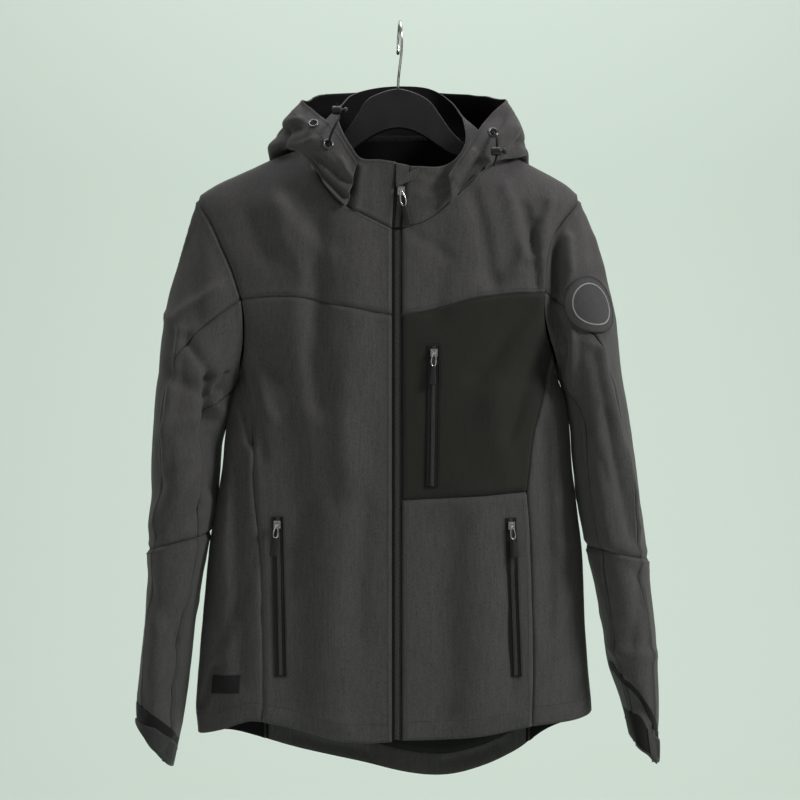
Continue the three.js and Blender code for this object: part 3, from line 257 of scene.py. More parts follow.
def new_material(name):
    """Material, its node tree, its shader and object coordinates."""
    material = bpy.data.materials.new(name)
    material.use_nodes = True
    tree = material.node_tree
    shader = next(n for n in tree.nodes if n.type == "BSDF_PRINCIPLED")
    place = node_of(tree, "ShaderNodeTexCoord").outputs["Object"]
    return material, tree, shader, place


def shade(level, tint=(1, 1, 1)):
    """Linear colour from an sRGB grey level of 0 to 255 and a tint."""
    value = ((level / 255 + 0.055) / 1.055) ** 2.4
    return (value * tint[0], value * tint[1], value * tint[2], 1)


def scaled(tree, place, scale):
    """Coordinates stretched by a scale for each axis."""
    return node_of(tree, "ShaderNodeMapping", {"Vector": place, "Scale": scale}).outputs[0]


def noise(tree, vector, scale, detail=2.0, rough=0.5):
    """Smooth noise from 0 to 1."""
    inputs = {"Vector": vector, "Scale": scale, "Detail": detail, "Roughness": rough}
    return node_of(tree, "ShaderNodeTexNoise", inputs).outputs["Fac"]


def blend_of(tree, share, low, high):
    """Colour between two colours."""
    made = node_of(tree, "ShaderNodeMix", data_type="RGBA")
    tree.links.new(share, made.inputs[0])
    made.inputs[6].default_value, made.inputs[7].default_value = low, high
    return made.outputs[2]


def stretch(tree, value, low, high):
    """Spreads low..high of a value over 0..1."""
    inputs = {"Value": value, "From Min": low, "From Max": high}
    return node_of(tree, "ShaderNodeMapRange", inputs).outputs[0]


def bump(tree, height, strength, distance):
    """Normal bumped by a height of the given depth in metres."""
    inputs = {"Height": height, "Strength": strength, "Distance": distance}
    return node_of(tree, "ShaderNodeBump", inputs).outputs[0]


# %% Cloth finishes
FIBRE = (2600, 2600, 380)
STREAK = (420, 420, 36)


def cloth_finish(name, dark, pale, tint, sheen, rough, mixed):
    """Knit cloth: fine fibres and faint long streaks between a dark and a pale tone."""
    material, tree, shader, place = new_material(name)
    fibre = stretch(tree, noise(tree, scaled(tree, place, FIBRE), 1.0, 3.0, 0.6), 0.38, 0.62)
    streak = stretch(tree, noise(tree, scaled(tree, place, STREAK), 1.0, 2.0), 0.3, 0.7)
    share = node_of(tree, "ShaderNodeMix", {0: mixed, 2: streak, 3: fibre}).outputs[0]
    colour = blend_of(tree, share, shade(dark, tint), shade(pale, tint))
    tree.links.new(colour, shader.inputs["Base Color"])
    tree.links.new(bump(tree, fibre, 0.35, 0.00018), shader.inputs["Normal"])
    shader.inputs["Roughness"].default_value = rough
    shader.inputs["Sheen Weight"].default_value = sheen
    shader.inputs["Sheen Roughness"].default_value = 0.45
    shader.inputs["Specular IOR Level"].default_value = 0.25
    return material


SHELL = cloth_finish("shell_cloth", 54, 81, (1.04, 0.985, 0.985), 0.10, 0.82, 0.7)
CHEST = cloth_finish("chest_cloth", 34, 42, (1.0, 0.98, 0.80), 0.05, 0.85, 0.6)
BLACK = cloth_finish("black_cloth", 17, 26, (1.0, 1.0, 0.97), 0.06, 0.85, 0.6)
FLEECE = cloth_finish("fleece_back", 12, 19, (1.0, 1.0, 0.98), 0.0, 0.95, 0.8)
LABEL = cloth_finish("label_cloth", 16, 26, (1.0, 0.96, 0.98), 0.05, 0.7, 0.6)
THREAD = cloth_finish("thread", 44, 66, (1.0, 1.0, 0.98), 0.1, 0.7, 0.5)
DARK_THREAD = cloth_finish("dark_thread", 22, 34, (1.0, 1.0, 0.96), 0.1, 0.7, 0.5)
BADGE_CLOTH = cloth_finish("badge_cloth", 56, 68, (1.0, 1.0, 0.99), 0.1, 0.8, 0.6)
BADGE_EDGE = cloth_finish("badge_edge", 42, 52, (1.0, 1.0, 0.99), 0.1, 0.8, 0.6)
STRAP = cloth_finish("strap_cloth", 46, 60, (1.0, 1.0, 0.98), 0.05, 0.75, 0.5)
PALE_THREAD = cloth_finish("pale_thread", 120, 145, (1.0, 1.0, 1.0), 0.2, 0.7, 0.5)


def hard_finish(name, low, high, tint, rough, metal, marks):
    """Plastic or metal with a slightly uneven colour and gloss."""
    material, tree, shader, place = new_material(name)
    wear = stretch(tree, noise(tree, place, marks, 3.0), 0.35, 0.65)
    colour = blend_of(tree, wear, shade(low, tint), shade(high, tint))
    tree.links.new(colour, shader.inputs["Base Color"])
    inputs = {"Value": wear, "To Min": rough[0], "To Max": rough[1]}
    gloss = node_of(tree, "ShaderNodeMapRange", inputs).outputs[0]
    tree.links.new(gloss, shader.inputs["Roughness"])
    shader.inputs["Metallic"].default_value = metal
    return material


PLASTIC = hard_finish("black_plastic", 20, 26, (1, 1, 0.97), (0.38, 0.5), 0.0, 300)
TAB_PLASTIC = hard_finish("tab_plastic", 10, 15, (1, 1, 0.97), (0.6, 0.75), 0.0, 600)
HANGER_PLASTIC = hard_finish("hanger_plastic", 14, 19, (1, 1, 0.98), (0.5, 0.62), 0.0, 40)
NICKEL = hard_finish("nickel", 190, 215, (1, 1, 0.98), (0.16, 0.28), 1.0, 400)
GUNMETAL = hard_finish("gunmetal", 88, 112, (1, 1, 1.02), (0.25, 0.4), 1.0, 400)
COIL = hard_finish("zip_coil", 66, 90, (1.0, 1.04, 0.9), (0.4, 0.55), 0.0, 900)
print("finishes:", len(bpy.data.materials))

# %% [markdown]
# ## Drawcords
# The hood is tightened by a cord that comes out of an eyelet on each side and runs through a
# spring lock. A real cord is a soft round braid, so it is a round bar along a hanging curve
# from its eyelet, through its lock, to its free end.

# %% The cords, from the eyelets to their free ends
CORD_RADIUS = 1.4
CORD_STEPS, CORD_SIDES = 70, 16
CORD_PATHS = {
    "right": [(-78.5, -79, -122), (-72.5, -78, -109), (-69.5, -69, -101), (-69.5, -59, -96.6),
              (-70, -52.5, -96.1), (-71, -51.5, -90), (-72, -52, -82)],
    "left": [(115.5, -70, -123), (116, -74, -129), (116, -74, -134.6), (116, -74, -141),
             (114.5, -73.5, -150), (111.5, -73, -157)],
}


def cord_surface(label):
    """Round bar of one cord, with its line from the eyelet's centre."""
    low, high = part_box("eyelet_" + label)
    start = (np.array(low) + np.array(high)) / 2 / MM
    line = drawn([tuple(start), *CORD_PATHS[label]], CORD_STEPS)
    return tube_mesh("cord_" + label, line, CORD_RADIUS, CORD_SIDES), line


for cord_label in CORD_PATHS:
    cord, line = cord_surface(cord_label)
    finish_piece(cord, BLACK, nodes=["drawcord_" + cord_label])
    print("cord", cord_label, round(lengths(line)[-1], 1), "mm")

# %% [markdown]
# ## The form of the body
# A jacket on a hanger is a flattened tube: broad, about 13 cm deep and open inside. Its section
# is a superellipse, fuller than an ellipse, that closes to a line along the shoulders, where
# the cloth lies over the hanger's arms. The tables are the jacket's outline as seen from the
# front and its depth, by height.

# %% Sizes of the body
TORSO = np.array([  # height, right edge, left edge, depth of the front, depth of the back
    (-889, -240, 232, 60, 56), (-829, -240, 232.6, 60, 56), (-795, -242.4, 231.6, 61, 56),
    (-731, -237.6, 226, 62, 56), (-671, -232.4, 223, 64, 57), (-611, -226.8, 220.5, 66, 58),
    (-551, -217.2, 213.5, 68, 59), (-516, -211, 209, 69, 60), (-467, -206, 205.5, 70, 60),
    (-430, -200.5, 200.5, 70, 61), (-402, -190.5, 190.2, 70, 62), (-388, -192, 191.5, 70, 62),
    (-374, -200, 195, 70, 62), (-352, -218, 205, 70, 62), (-325, -232, 217, 70, 62),
    (-290, -239, 220, 69, 62), (-250, -239, 217, 67, 62), (-216, -243, 219, 65, 61),
    (-190, -250, 226, 63, 60), (-110, -255, 230, 60, 60),
], float)
SHOULDER = np.array([
    (-240, -190), (-237, -186.5), (-227.5, -179.4), (-213, -171), (-188, -160), (-148, -141.7),
    (-102, -121), (-50, -76), (2, -58), (54, -77), (105, -123), (153, -147), (189, -166),
    (203, -174.6), (214, -185), (217, -190),
], float)
SECTION_POWER = 2.5
SHOULDER_ROLL = 120
WALL = 1.6

# %% [markdown]
# ## Creases of the body
# Softshell is stiff and springy, so it hangs in a few broad, shallow troughs instead of sharp
# folds. They run down from the shoulders and across from the armholes.
# A row gives a line's two ends as seen from the front, half its width and its rise, all in
# millimetres; a negative rise is a trough. The back has similar ones.

# %% Creases
FRONT_FOLDS = np.array([  # x, z, x, z, half width, rise
    (-125, -430, -120, -790, 30, -8.0), (-66, -470, -72, -800, 32, 6.0),
    (-170, -225, -128, -285, 15, -6.0), (-140, -205, -86, -265, 15, 4.8),
    (168, -205, 118, -285, 14, -6.8), (95, -560, 100, -780, 30, 6.0), (62, -590, 56, -800, 24, -6.0),
    (-92, -225, -94, -430, 13, -6.8), (-84, -400, -80, -540, 15, -4.8),
    (-143, -180, -134, -280, 12, 3.6), (-122, -262, -112, -440, 17, 5.2),
    (-60, -240, -64, -500, 26, 5.2), (-40, -240, -42, -420, 20, 3.2), (90, -190, 112, -290, 9, -5.2),
    (128, -178, 152, -262, 8, 4.8), (152, -206, 166, -296, 7, -7.2), (182, -196, 170, -262, 7, 4.8),
    (164, -222, 150, -272, 4, -3.6), (52, -246, 46, -322, 16, -3.2), (150, -330, 96, -400, 12, -4.0),
    (162, -352, 112, -440, 14, 3.6), (168, -378, 132, -470, 9, -4.0), (112, -430, 128, -530, 18, 3.2),
    (-176, -352, -140, -400, 10, -4.8), (-180, -384, -150, -450, 10, 4.0),
    (-172, -402, -160, -500, 8, -3.6), (-189, -404, -174, -480, 5.5, -7.2),
    (-212, -440, -206, -640, 14, 6.0), (-190, -500, -186, -760, 10, -4.4),
    (-224, -650, -214, -800, 12, -4.0), (196, -430, 192, -600, 12, 5.2),
    (176, -470, 180, -700, 10, -4.8), (214, -620, 206, -780, 12, -4.0), (20, -235, 60, -262, 7, -2.4),
    (-30, -240, -66, -252, 7, -2.0), (-150, -800, -60, -814, 8, 2.4), (50, -816, 150, -802, 8, 2.4),
    (-40, -560, -48, -700, 14, -3.2), (-214, -750, -233, -794, 4.5, -9.0),
    (-180, -655, -208, -715, 8, -4.4), (-104, -560, -124, -640, 14, -5.2),
    (130, -640, 134, -770, 9, -2.8),
])
BACK_FOLDS = np.array([
    (-96, -360, -88, -780, 30, -8.0), (-20, -420, -28, -840, 32, 6.8), (82, -380, 96, -780, 30, -8.0),
    (-150, -240, -90, -330, 16, -6.4), (150, -235, 92, -330, 16, -6.0), (-60, -180, -50, -400, 22, 4.8),
    (56, -190, 50, -400, 20, 4.4), (-170, -340, -130, -440, 12, 4.4), (168, -340, 126, -450, 12, 4.8),
    (-160, -560, -170, -780, 18, 4.8), (160, -540, 166, -760, 18, 5.2), (30, -520, 36, -820, 18, -4.0),
    (-190, -430, -196, -700, 12, -4.4), (196, -430, 200, -700, 12, -4.4),
    (-120, -840, -40, -862, 8, 2.4), (60, -872, 120, -852, 8, 2.4),
])


def fold_rise(x, z, folds):
    """Sum of soft ridges: each is a bell across its line and fades out past both its ends.
    The side towards the right is a little steeper, as hanging cloth leans."""
    total = np.zeros(np.broadcast(x, z).shape)
    for x0, z0, x1, z1, half, rise in folds:
        long = math.hypot(x1 - x0, z1 - z0)
        ux, uz = (x1 - x0) / long, (z1 - z0) / long
        along = (x - x0) * ux + (z - z0) * uz
        across = (x - x0) * uz - (z - z0) * ux
        sway = 0.12 * half * np.sin(along / long * 7 + x0)
        reach = half * np.where(across > sway, 1.2, 0.82)
        past = np.maximum(np.maximum(-along, along - long), 0) / (1.3 * half)
        total = total + rise * np.exp(-(((across - sway) / reach) ** 2) - past**2)
    return total


# %% The body's surface
def torso_edge(x, z):
    """Half width of the outline on a point's side."""
    right, left = (smooth(TORSO[:, 0], TORSO[:, column], z) for column in (1, 2))
    return np.where(x < 0, -right, left)


def shoulder_height(x):
    """Height of the shoulder line."""
    return smooth(SHOULDER[:, 0], SHOULDER[:, 1], x)


def fullness(x, z):
    """Share of the full depth: a superellipse across, and rounded over at the shoulders."""
    u = np.minimum(np.abs(x) / torso_edge(x, z), 1)
    section = (1 - u**SECTION_POWER) ** (1 / SECTION_POWER)
    below = np.clip((shoulder_height(x) - z) / SHOULDER_ROLL, 0, 1)
    return section * quarter(below)


def torso(x, z, face):
    """Points of the front (face -1) or back (1): the section's depth, plus its creases, which
    fade out where the section closes."""
    share = fullness(x, z)
    deep = smooth(TORSO[:, 0], TORSO[:, 3 if face < 0 else 4], z)
    rise = fold_rise(x, z, FRONT_FOLDS if face < 0 else BACK_FOLDS)
    y = face * (share * deep + rise * np.sqrt(np.minimum(share * 1.6, 1)))
    return np.stack([x + 0 * y, y, z + 0 * y], -1)


# %% [markdown]
# ## Seams of the body
# A pattern piece is known by its four borders. Each border is drawn once and used by both
# pieces that meet there, so they always fit. The inside of a piece is the sum of the two ways
# of ruling lines between opposite borders, less what the corners count twice.

# %% Seam lines, as seen from the front
DENSE = 7
SIGN = {"right": -1, "left": 1}
FRONT_SEED, BACK_SEED, SIDE_SEED, SLEEVE_SEEDS = 10, 40, 60, {"upper": 70, "lower": 80}
COLLAR_SEED, HOOD_SEED, LINING_SEED = 90, 120, 131
YOKE_RIGHT = [(-7.3, -331.7), (-20, -329.8), (-68, -321), (-121, -310.5), (-185.3, -312)]
YOKE_LEFT = [(5.2, -331.7), (23.5, -329.7), (46.6, -324.6), (83, -314), (120, -307.8), (173.6, -304)]
YOKE_BACK = [(-185.3, -312), (-120, -296), (0, -290), (105, -294), (173.6, -304)]
ARMHOLE = {
    "right": [[(-240, -190), (-237, -198), (-224, -218), (-209, -249), (-197, -276), (-188, -303),
               (-185.3, -312)],
              [(-185.3, -312), (-182.6, -330), (-182, -352), (-184, -374), (-187.6, -389)],
              [(-187.6, -389), (-189.6, -397), (-190.5, -402)]],
    "left": [[(217, -190), (214, -197), (198.6, -215), (184.9, -237), (178.6, -259), (174.6, -285),
              (173.6, -304)],
             [(173.6, -304), (172.6, -322), (175.5, -346), (180.5, -365), (184.6, -377)],
             [(184.6, -377), (188.4, -392), (190.2, -402)]],
}
ARMHOLE_STEPS = (8, 5, 3)
SIDE_RIGHT = [(-187.6, -389), (-176.7, -438.5), (-172.6, -470), (-169.9, -538.8), (-162.8, -613),
              (-160.4, -700), (-159.6, -788), (-160.4, -811.7)]
SIDE_LEFT_TOP = [(184.6, -377), (169.7, -437), (159.2, -478.6), (154.4, -519.8), (152, -539.8)]
SIDE_LEFT_LOW = [(152, -539.8), (155.6, -590), (158.1, -656), (159.9, -744), (158.3, -816.5)]
BACK_SEAM_RIGHT = [(-187.6, -389), (-178, -440), (-172, -540), (-166, -700), (-162, -843)]
BACK_SEAM_LEFT = [(184.6, -377), (174, -440), (166, -540), (163, -700), (160, -846)]
CHEST_EDGE = [(5.2, -549.5), (48.2, -547), (105.9, -543.9), (152, -539.8)]
NECK_RIGHT = [(-7.3, -230.5), (-35.4, -216.4), (-57, -206), (-70, -199), (-81, -187), (-92, -171),
              (-100, -151), (-103, -134), (-102, -121)]
NECK_LEFT = [(5.2, -230.5), (29, -223), (39, -217.6), (56, -204), (70, -190), (84, -178),
             (97, -160), (104, -140), (105, -123)]
NECK_BACK = [(-102, -121), (-86, -118), (-52, -115), (2, -113.5), (55, -115), (89, -119), (105, -123)]
HEM_RIGHT = [(-7.3, -833.9), (-35.8, -835.4), (-70.5, -832.2), (-114, -821.5), (-160.4, -811.7)]
HEM_LEFT = [(5.2, -832.2), (55, -831), (104.8, -826.8), (158.3, -816.5)]
HEM_SIDE = {
    "right": [[(-160.4, -811.7), (-176, -811.3), (-208, -822), (-232, -828), (-240, -829)],
              [(-162, -843), (-200, -832), (-228, -829.2), (-240, -829)]],
    "left": [[(158.3, -816.5), (186.7, -813.8), (211.8, -810.5), (227, -806), (231.9, -803)],
             [(160, -846), (181, -831), (215, -815), (229, -805.5), (231.9, -803)]],
}
HEM_BACK = [(-162, -843), (-123, -855), (-51, -872), (6, -885), (38, -889), (67, -887.7),
            (110, -875), (145, -857), (160, -846)]
ZIP_SIDE = {"right": -7.3, "left": 5.2}
ZIP_TOP, YOKE_AT_ZIP, CHEST_AT_ZIP = -230.5, -331.7, -549.5
HEM_AT_ZIP = {"right": -833.9, "left": -832.2}


def seam(points, steps):
    """A seam line with DENSE points for each of its steps."""
    return drawn(points, steps * DENSE)


def chain(*lines):
    """Lines joined end to end."""
    return np.concatenate([lines[0], *[line[1:] for line in lines[1:]]])


def shoulder(start, end, steps):
    """The shoulder line between two places."""
    x = np.linspace(start, end, steps * DENSE + 1)
    return np.stack([x, shoulder_height(x)], 1)


def fill(top, bottom, first, final):
    """Inside of a four-sided piece from its borders."""
    u = np.linspace(0, 1, len(top))[None, :, None]
    v = np.linspace(0, 1, len(first))[:, None, None]
    ruled = top[None] * (1 - v) + bottom[None] * v + first[:, None] * (1 - u) + final[:, None] * u
    corners = (top[0] * (1 - u) + top[-1] * u) * (1 - v) + (bottom[0] * (1 - u) + bottom[-1] * u) * v
    return ruled - corners


# %% [markdown]
# ## What makes it look sewn
# At a seam the allowances behind the cloth hold it down, so both pieces dip into a narrow
# valley, and beside it the two or three layers make a low, slightly puckered band. Knit cloth
# is never quite flat either. Each is a small move along the surface's normal.


# %% Seam valleys, puckers and the cloth's own unevenness
def border_distance(points):
    """Distance of each grid point to the first row, last row, first column and last column."""
    down = np.linalg.norm(np.diff(points, axis=0), axis=2)
    right = np.linalg.norm(np.diff(points, axis=1), axis=2)
    down = np.concatenate([np.zeros((1, down.shape[1])), np.cumsum(down, axis=0)])
    right = np.concatenate([np.zeros((right.shape[0], 1)), np.cumsum(right, axis=1)], axis=1)
    return {"top": down, "bottom": down[-1:] - down, "first": right, "final": right[:, -1:] - right}


def uneven(points, size, seed):
    """Smooth random height from -1 to 1: a sum of waves in unlike directions."""
    random = np.random.default_rng(seed)
    total = np.zeros(points.shape[:-1])
    for _ in range(7):
        direction = unit(random.normal(size=3)) * 2 * np.pi / (size * random.uniform(0.7, 1.6))
        total = total + np.sin(points @ direction + random.uniform(0, 6.28))
    return total / 4


def sewn(points, normals, valleys, seed, dip=1.7, dip_width=2.4, band=0.5, rough=0.35):
    """Grid with a valley and a puckered band at each sewn border."""
    away = border_distance(points)
    move = rough * uneven(points, 46, seed) + 0.25 * rough * uneven(points, 15, seed + 1)
    for border in valleys:
        d = away[border]
        move = move - dip * np.exp(-((d / dip_width) ** 2))
        move = move + band * np.exp(-(((d - 4.5) / 3.2) ** 2)) * (1 + 0.5 * uneven(points, 13, seed + 2))
    return points + normals * move[..., None]


def sheet_sizes(points):
    """Width, length and area of a grid of cloth, in metres: its middle row and column."""
    across = lengths(points[len(points) // 2])[-1]
    down = lengths(points[:, points.shape[1] // 2])[-1]
    edges = np.cross(points[1:, :-1] - points[:-1, :-1], points[:-1, 1:] - points[:-1, :-1])
    return across * MM, down * MM, np.linalg.norm(edges, axis=2).sum() * MM * MM


cut_pieces, sewn_grids = {}, {}


def outward(points, way):
    """Unit normals of a grid, turned so that their mean agrees with a direction."""
    normals = grid_normals(points)
    return normals if (normals @ np.asarray(way, float)).mean() >= 0 else -normals


def facing_out(points, normals):
    """Faces of a grid, turned so that their own normals agree with the given ones."""
    faces = grid_faces(*points.shape[:2])
    a, b, c, d = (points.reshape(-1, 3)[faces[:, k]] for k in range(4))
    agree = (np.cross(c - a, d - b) * normals.reshape(-1, 3)[faces[:, 0]]).sum()
    return faces if agree > 0 else faces[:, ::-1]


def cloth_piece(name, points, normals, material=SHELL, slot="shell_cloth", thick=WALL):
    """A sewn piece: its grid with a real thickness, its finish and its flat size. The flat size
    is the middle row by the middle column, with the piece's area."""
    made = link("cloth_" + name, points.reshape(-1, 3), facing_out(points, normals))
    wall = made.modifiers.new("thickness", "SOLIDIFY")
    wall.thickness, wall.offset = thick * MM, -1
    finish_piece(made, material, nodes=[name])
    made.data.materials.append(FLEECE)
    wall.material_offset = 1
    wide, long, area = sheet_sizes(points)
    cut_pieces[name] = (round(wide, 3), round(long, 3), round(area, 4))
    sewn_grids[name] = points, normals


# %% [markdown]
# ## Stitches
# Most seams of the jacket are topstitched about 6 mm from their edge, a stitch about every 3 mm.
# A stitch is a short thread that rises out of the cloth and goes back in, so it is a small bar
# that is thickest in its middle. All stitches of one thread colour are one mesh.

# %% Stitch builder
STITCH = {"pitch": 3.2, "share": 0.74, "half": 0.36,
          "sections": ((0.5, -0.15), (1, 0.28), (0.5, -0.15))}  # size and lift of each section
stitch_runs = {"thread": [], "dark": []}


def stitch_line(points, normals, kind="thread", pitch=STITCH["pitch"]):
    """Adds the stitches of one line that lies on the cloth: the start, middle and end of each."""
    along = lengths(points)
    count = int(along[-1] / pitch)
    if count < 1:
        return
    at = np.linspace(0, along[-1], count + 1)[:-1]
    run = []
    for share in (0.0, 0.5, 1.0):
        where = np.minimum(at + share * pitch * STITCH["share"], along[-1])
        run.append((between(points, along, where), unit(between(normals, along, where))))
    stitch_runs[kind].append(run)


def inset(points, normals, border, distance):
    """Line on a grid at a distance from one of its borders, with its normals: on each grid line
    that leaves the border, the place between the two points that the distance falls between."""
    if border in ("top", "bottom"):
        grid, up = (points, normals) if border == "top" else (points[::-1], normals[::-1])
    else:
        grid, up = points.transpose(1, 0, 2), normals.transpose(1, 0, 2)
        if border == "final":
            grid, up = grid[::-1], up[::-1]
    steps = np.linalg.norm(np.diff(grid, axis=0), axis=2)
    far = np.concatenate([np.zeros((1, steps.shape[1])), np.cumsum(steps, axis=0)])
    columns = np.arange(grid.shape[1])
    k = np.clip((far <= distance).sum(axis=0) - 1, 0, len(far) - 2)
    t = (distance - far[k, columns]) / np.maximum(far[k + 1, columns] - far[k, columns], 1e-6)
    line = grid[k, columns] + (grid[k + 1, columns] - grid[k, columns]) * t[:, None]
    over = up[k, columns] + (up[k + 1, columns] - up[k, columns]) * t[:, None]
    return line, unit(over)


def topstitch(name, border, distance, kind="thread"):
    """Stitches on a sewn piece, at a distance from one of its borders."""
    stitch_line(*inset(*sewn_grids[name], border, distance), kind)


def build_stitches(name, runs, material):
    """One mesh of all stitches of a colour: three square sections each, sunk at both ends."""
    spots = [np.concatenate([run[k][0] for run in runs]) for k in range(3)]
    ups = [np.concatenate([run[k][1] for run in runs]) for k in range(3)]
    ahead = unit(spots[2] - spots[0])
    rings = []
    for spot, up, (size, lift) in zip(spots, ups, STITCH["sections"]):
        side = unit(np.cross(ahead, up))
        centre = spot + up * lift
        half = STITCH["half"] * size
        corners = [side * half, up * half, -side * half, -up * half]
        rings.append(np.stack([centre + corner for corner in corners], 1))
    points = np.stack(rings, 1).reshape(-1, 3)
    bars = [(ring + k, ring + k + 4, ring + (k + 1) % 4 + 4, ring + (k + 1) % 4)
            for ring in (0, 4) for k in range(4)]
    bars += [(0, 1, 2, 3), (11, 10, 9, 8)]
    bars = np.array(bars)[None] + 12 * np.arange(len(spots[0]))[:, None, None]
    made = link(name, points, bars.reshape(-1, 4))
    return finish_piece(made, material)


# %% [markdown]
# ## Front and back
# The front has a shoulder yoke and a long panel on the wearer's right, and on the left a yoke,
# the black chest panel and a lower panel. The back is a yoke and one panel whose hem drops
# lower than the front's. Each is a grid on the body's surface between its own seams.

# %% Front pieces
def torso_piece(name, grid, face, valleys, seed, **finish):
    """Piece of the front or back from its grid of x and z, laid on the body's surface."""
    base = torso(grid[..., 0], grid[..., 1], face)
    normals = outward(base, (0, face, 0))
    cloth_piece(name, sewn(base, normals, valleys, seed), normals, **finish)


def zip_line(side, top, bottom, steps):
    """The straight edge beside the main zip."""
    z = np.linspace(top, bottom, steps * DENSE + 1)
    return np.stack([np.full_like(z, ZIP_SIDE[side]), z], 1)


armhole_lines = {
    side: [seam(part, steps) for part, steps in zip(ARMHOLE[side], ARMHOLE_STEPS)] for side in ARMHOLE
}
yoke_right, yoke_left, chest_edge = seam(YOKE_RIGHT, 6), seam(YOKE_LEFT, 6), seam(CHEST_EDGE, 6)
neck_right = chain(zip_line("right", YOKE_AT_ZIP, ZIP_TOP, 3), seam(NECK_RIGHT, 5))[::-1]
neck_left = chain(zip_line("left", YOKE_AT_ZIP, ZIP_TOP, 3), seam(NECK_LEFT, 5))[::-1]
front_grids = {
    "front_yoke_right": fill(shoulder(-102, -240, 6), yoke_right, neck_right,
                             armhole_lines["right"][0]),
    "front_yoke_left": fill(shoulder(105, 217, 6), yoke_left, neck_left,
                            armhole_lines["left"][0]),
    "front_panel_right": fill(yoke_right, seam(HEM_RIGHT, 6),
                              zip_line("right", YOKE_AT_ZIP, HEM_AT_ZIP["right"], 18),
                              chain(armhole_lines["right"][1], seam(SIDE_RIGHT, 13))),
    "chest_panel_left": fill(yoke_left, chest_edge, zip_line("left", YOKE_AT_ZIP, CHEST_AT_ZIP, 9),
                             chain(armhole_lines["left"][1], seam(SIDE_LEFT_TOP, 4))),
    "front_panel_left": fill(chest_edge, seam(HEM_LEFT, 6),
                             zip_line("left", CHEST_AT_ZIP, HEM_AT_ZIP["left"], 9),
                             seam(SIDE_LEFT_LOW, 9)),
}
front_valleys = {
    "front_yoke_right": ("bottom", "final"), "front_yoke_left": ("bottom", "final"),
    "front_panel_right": ("top", "final"), "chest_panel_left": ("top", "bottom", "final"),
    "front_panel_left": ("top", "final"),
}
for order, (name, grid) in enumerate(front_grids.items()):
    dark = {"material": CHEST, "slot": "chest_cloth"} if name == "chest_panel_left" else {}
    torso_piece(name, grid, -1, front_valleys[name], FRONT_SEED + 3 * order, **dark)
print("front pieces:", {name: cut_pieces[name] for name in front_grids})

# %% Back pieces
back_top = chain(shoulder(-240, -102, 6), seam(NECK_BACK, 6), shoulder(105, 217, 6))
yoke_back = seam(YOKE_BACK, 18)
back_grids = {
    "back_yoke": fill(back_top, yoke_back, armhole_lines["right"][0], armhole_lines["left"][0]),
    "back_panel": fill(yoke_back, seam(HEM_BACK, 18),
                       chain(armhole_lines["right"][1], seam(BACK_SEAM_RIGHT, 13)),
                       chain(armhole_lines["left"][1], seam(BACK_SEAM_LEFT, 13))),
}
for order, (name, grid) in enumerate(back_grids.items()):
    valleys = ("bottom", "first", "final") if name == "back_yoke" else ("top", "first", "final")
    torso_piece(name, grid, 1, valleys, BACK_SEED + 3 * order)
print("back pieces:", {name: cut_pieces[name] for name in back_grids})


# %% Side pieces, round the side from the front seam to the back seam
def side_piece(side):
    """Side panel: its grid is drawn in the section's angle and the height, then laid round. The
    angle's cosine, raised to two over the section's power, gives the share of the half width."""
    sign = SIGN[side]
    under = armhole_lines[side][2]
    if side == "right":
        front, back = seam(SIDE_RIGHT, 13), seam(BACK_SEAM_RIGHT, 13)
    else:
        front = chain(seam(SIDE_LEFT_TOP, 4), seam(SIDE_LEFT_LOW, 9))
        back = seam(BACK_SEAM_LEFT, 13)
    hem_front, hem_back = (seam(line, 3) for line in HEM_SIDE[side])

    def angle(line, face):
        u = np.minimum(np.abs(line[:, 0]) / torso_edge(line[:, 0], line[:, 1]), 1)
        return np.stack([face * np.arccos(u ** (SECTION_POWER / 2)), line[:, 1]], 1)

    top = chain(angle(under, -1), angle(under, 1)[::-1])
    bottom = chain(angle(hem_front, -1), angle(hem_back, 1)[::-1])
    grid = fill(top, bottom, angle(front, -1), angle(back, 1))
    bend, z = grid[..., 0], grid[..., 1]
    x = sign * torso_edge(np.full_like(z, sign), z) * np.cos(bend) ** (2 / SECTION_POWER)
    base = np.where((bend < 0)[..., None], torso(x, z, -1), torso(x, z, 1))
    normals = outward(base, (sign, 0, 0))
    points = sewn(base, normals, ("top", "first", "final"), SIDE_SEED + sign)
    cloth_piece("side_panel_" + side, points, normals)


for side in ARMHOLE:
    side_piece(side)

# %% Topstitching of the body
TOPSTITCH, HEM_STITCH, ZIP_STITCH = 6.0, 22.0, 5.0
SEAM_STITCHES = {
    "front_yoke_right": ("bottom",), "front_yoke_left": ("bottom",), "chest_panel_left": ("bottom",),
    "front_panel_right": ("final",), "front_panel_left": ("final",), "back_yoke": ("bottom",),
    "back_panel": ("first", "final"),
}
HEM_PIECES = ("front_panel_right", "front_panel_left", "back_panel", "side_panel_right", "side_panel_left")
thread_of = {name: "dark" if "chest" in name else "thread" for name in sewn_grids}
for name, borders in SEAM_STITCHES.items():
    for border in borders:
        topstitch(name, border, TOPSTITCH, thread_of[name])
for name in HEM_PIECES:
    topstitch(name, "bottom", HEM_STITCH)
for name in front_grids:
    topstitch(name, "first", ZIP_STITCH, thread_of[name])
print("stitch lines:", {kind: len(runs) for kind, runs in stitch_runs.items()})

# %% [markdown]
# ## Sleeves
# A set-in sleeve hangs as a flat tube that bends at the elbow and turns its cuff to the front.
# Its rings are ellipses between the outer and the inner edge of its outline.
# The armhole isn't an ellipse, so near it the rings take on its shape and lose it again further
# down. Each sleeve is cut at the elbow and along a front and an inner seam.

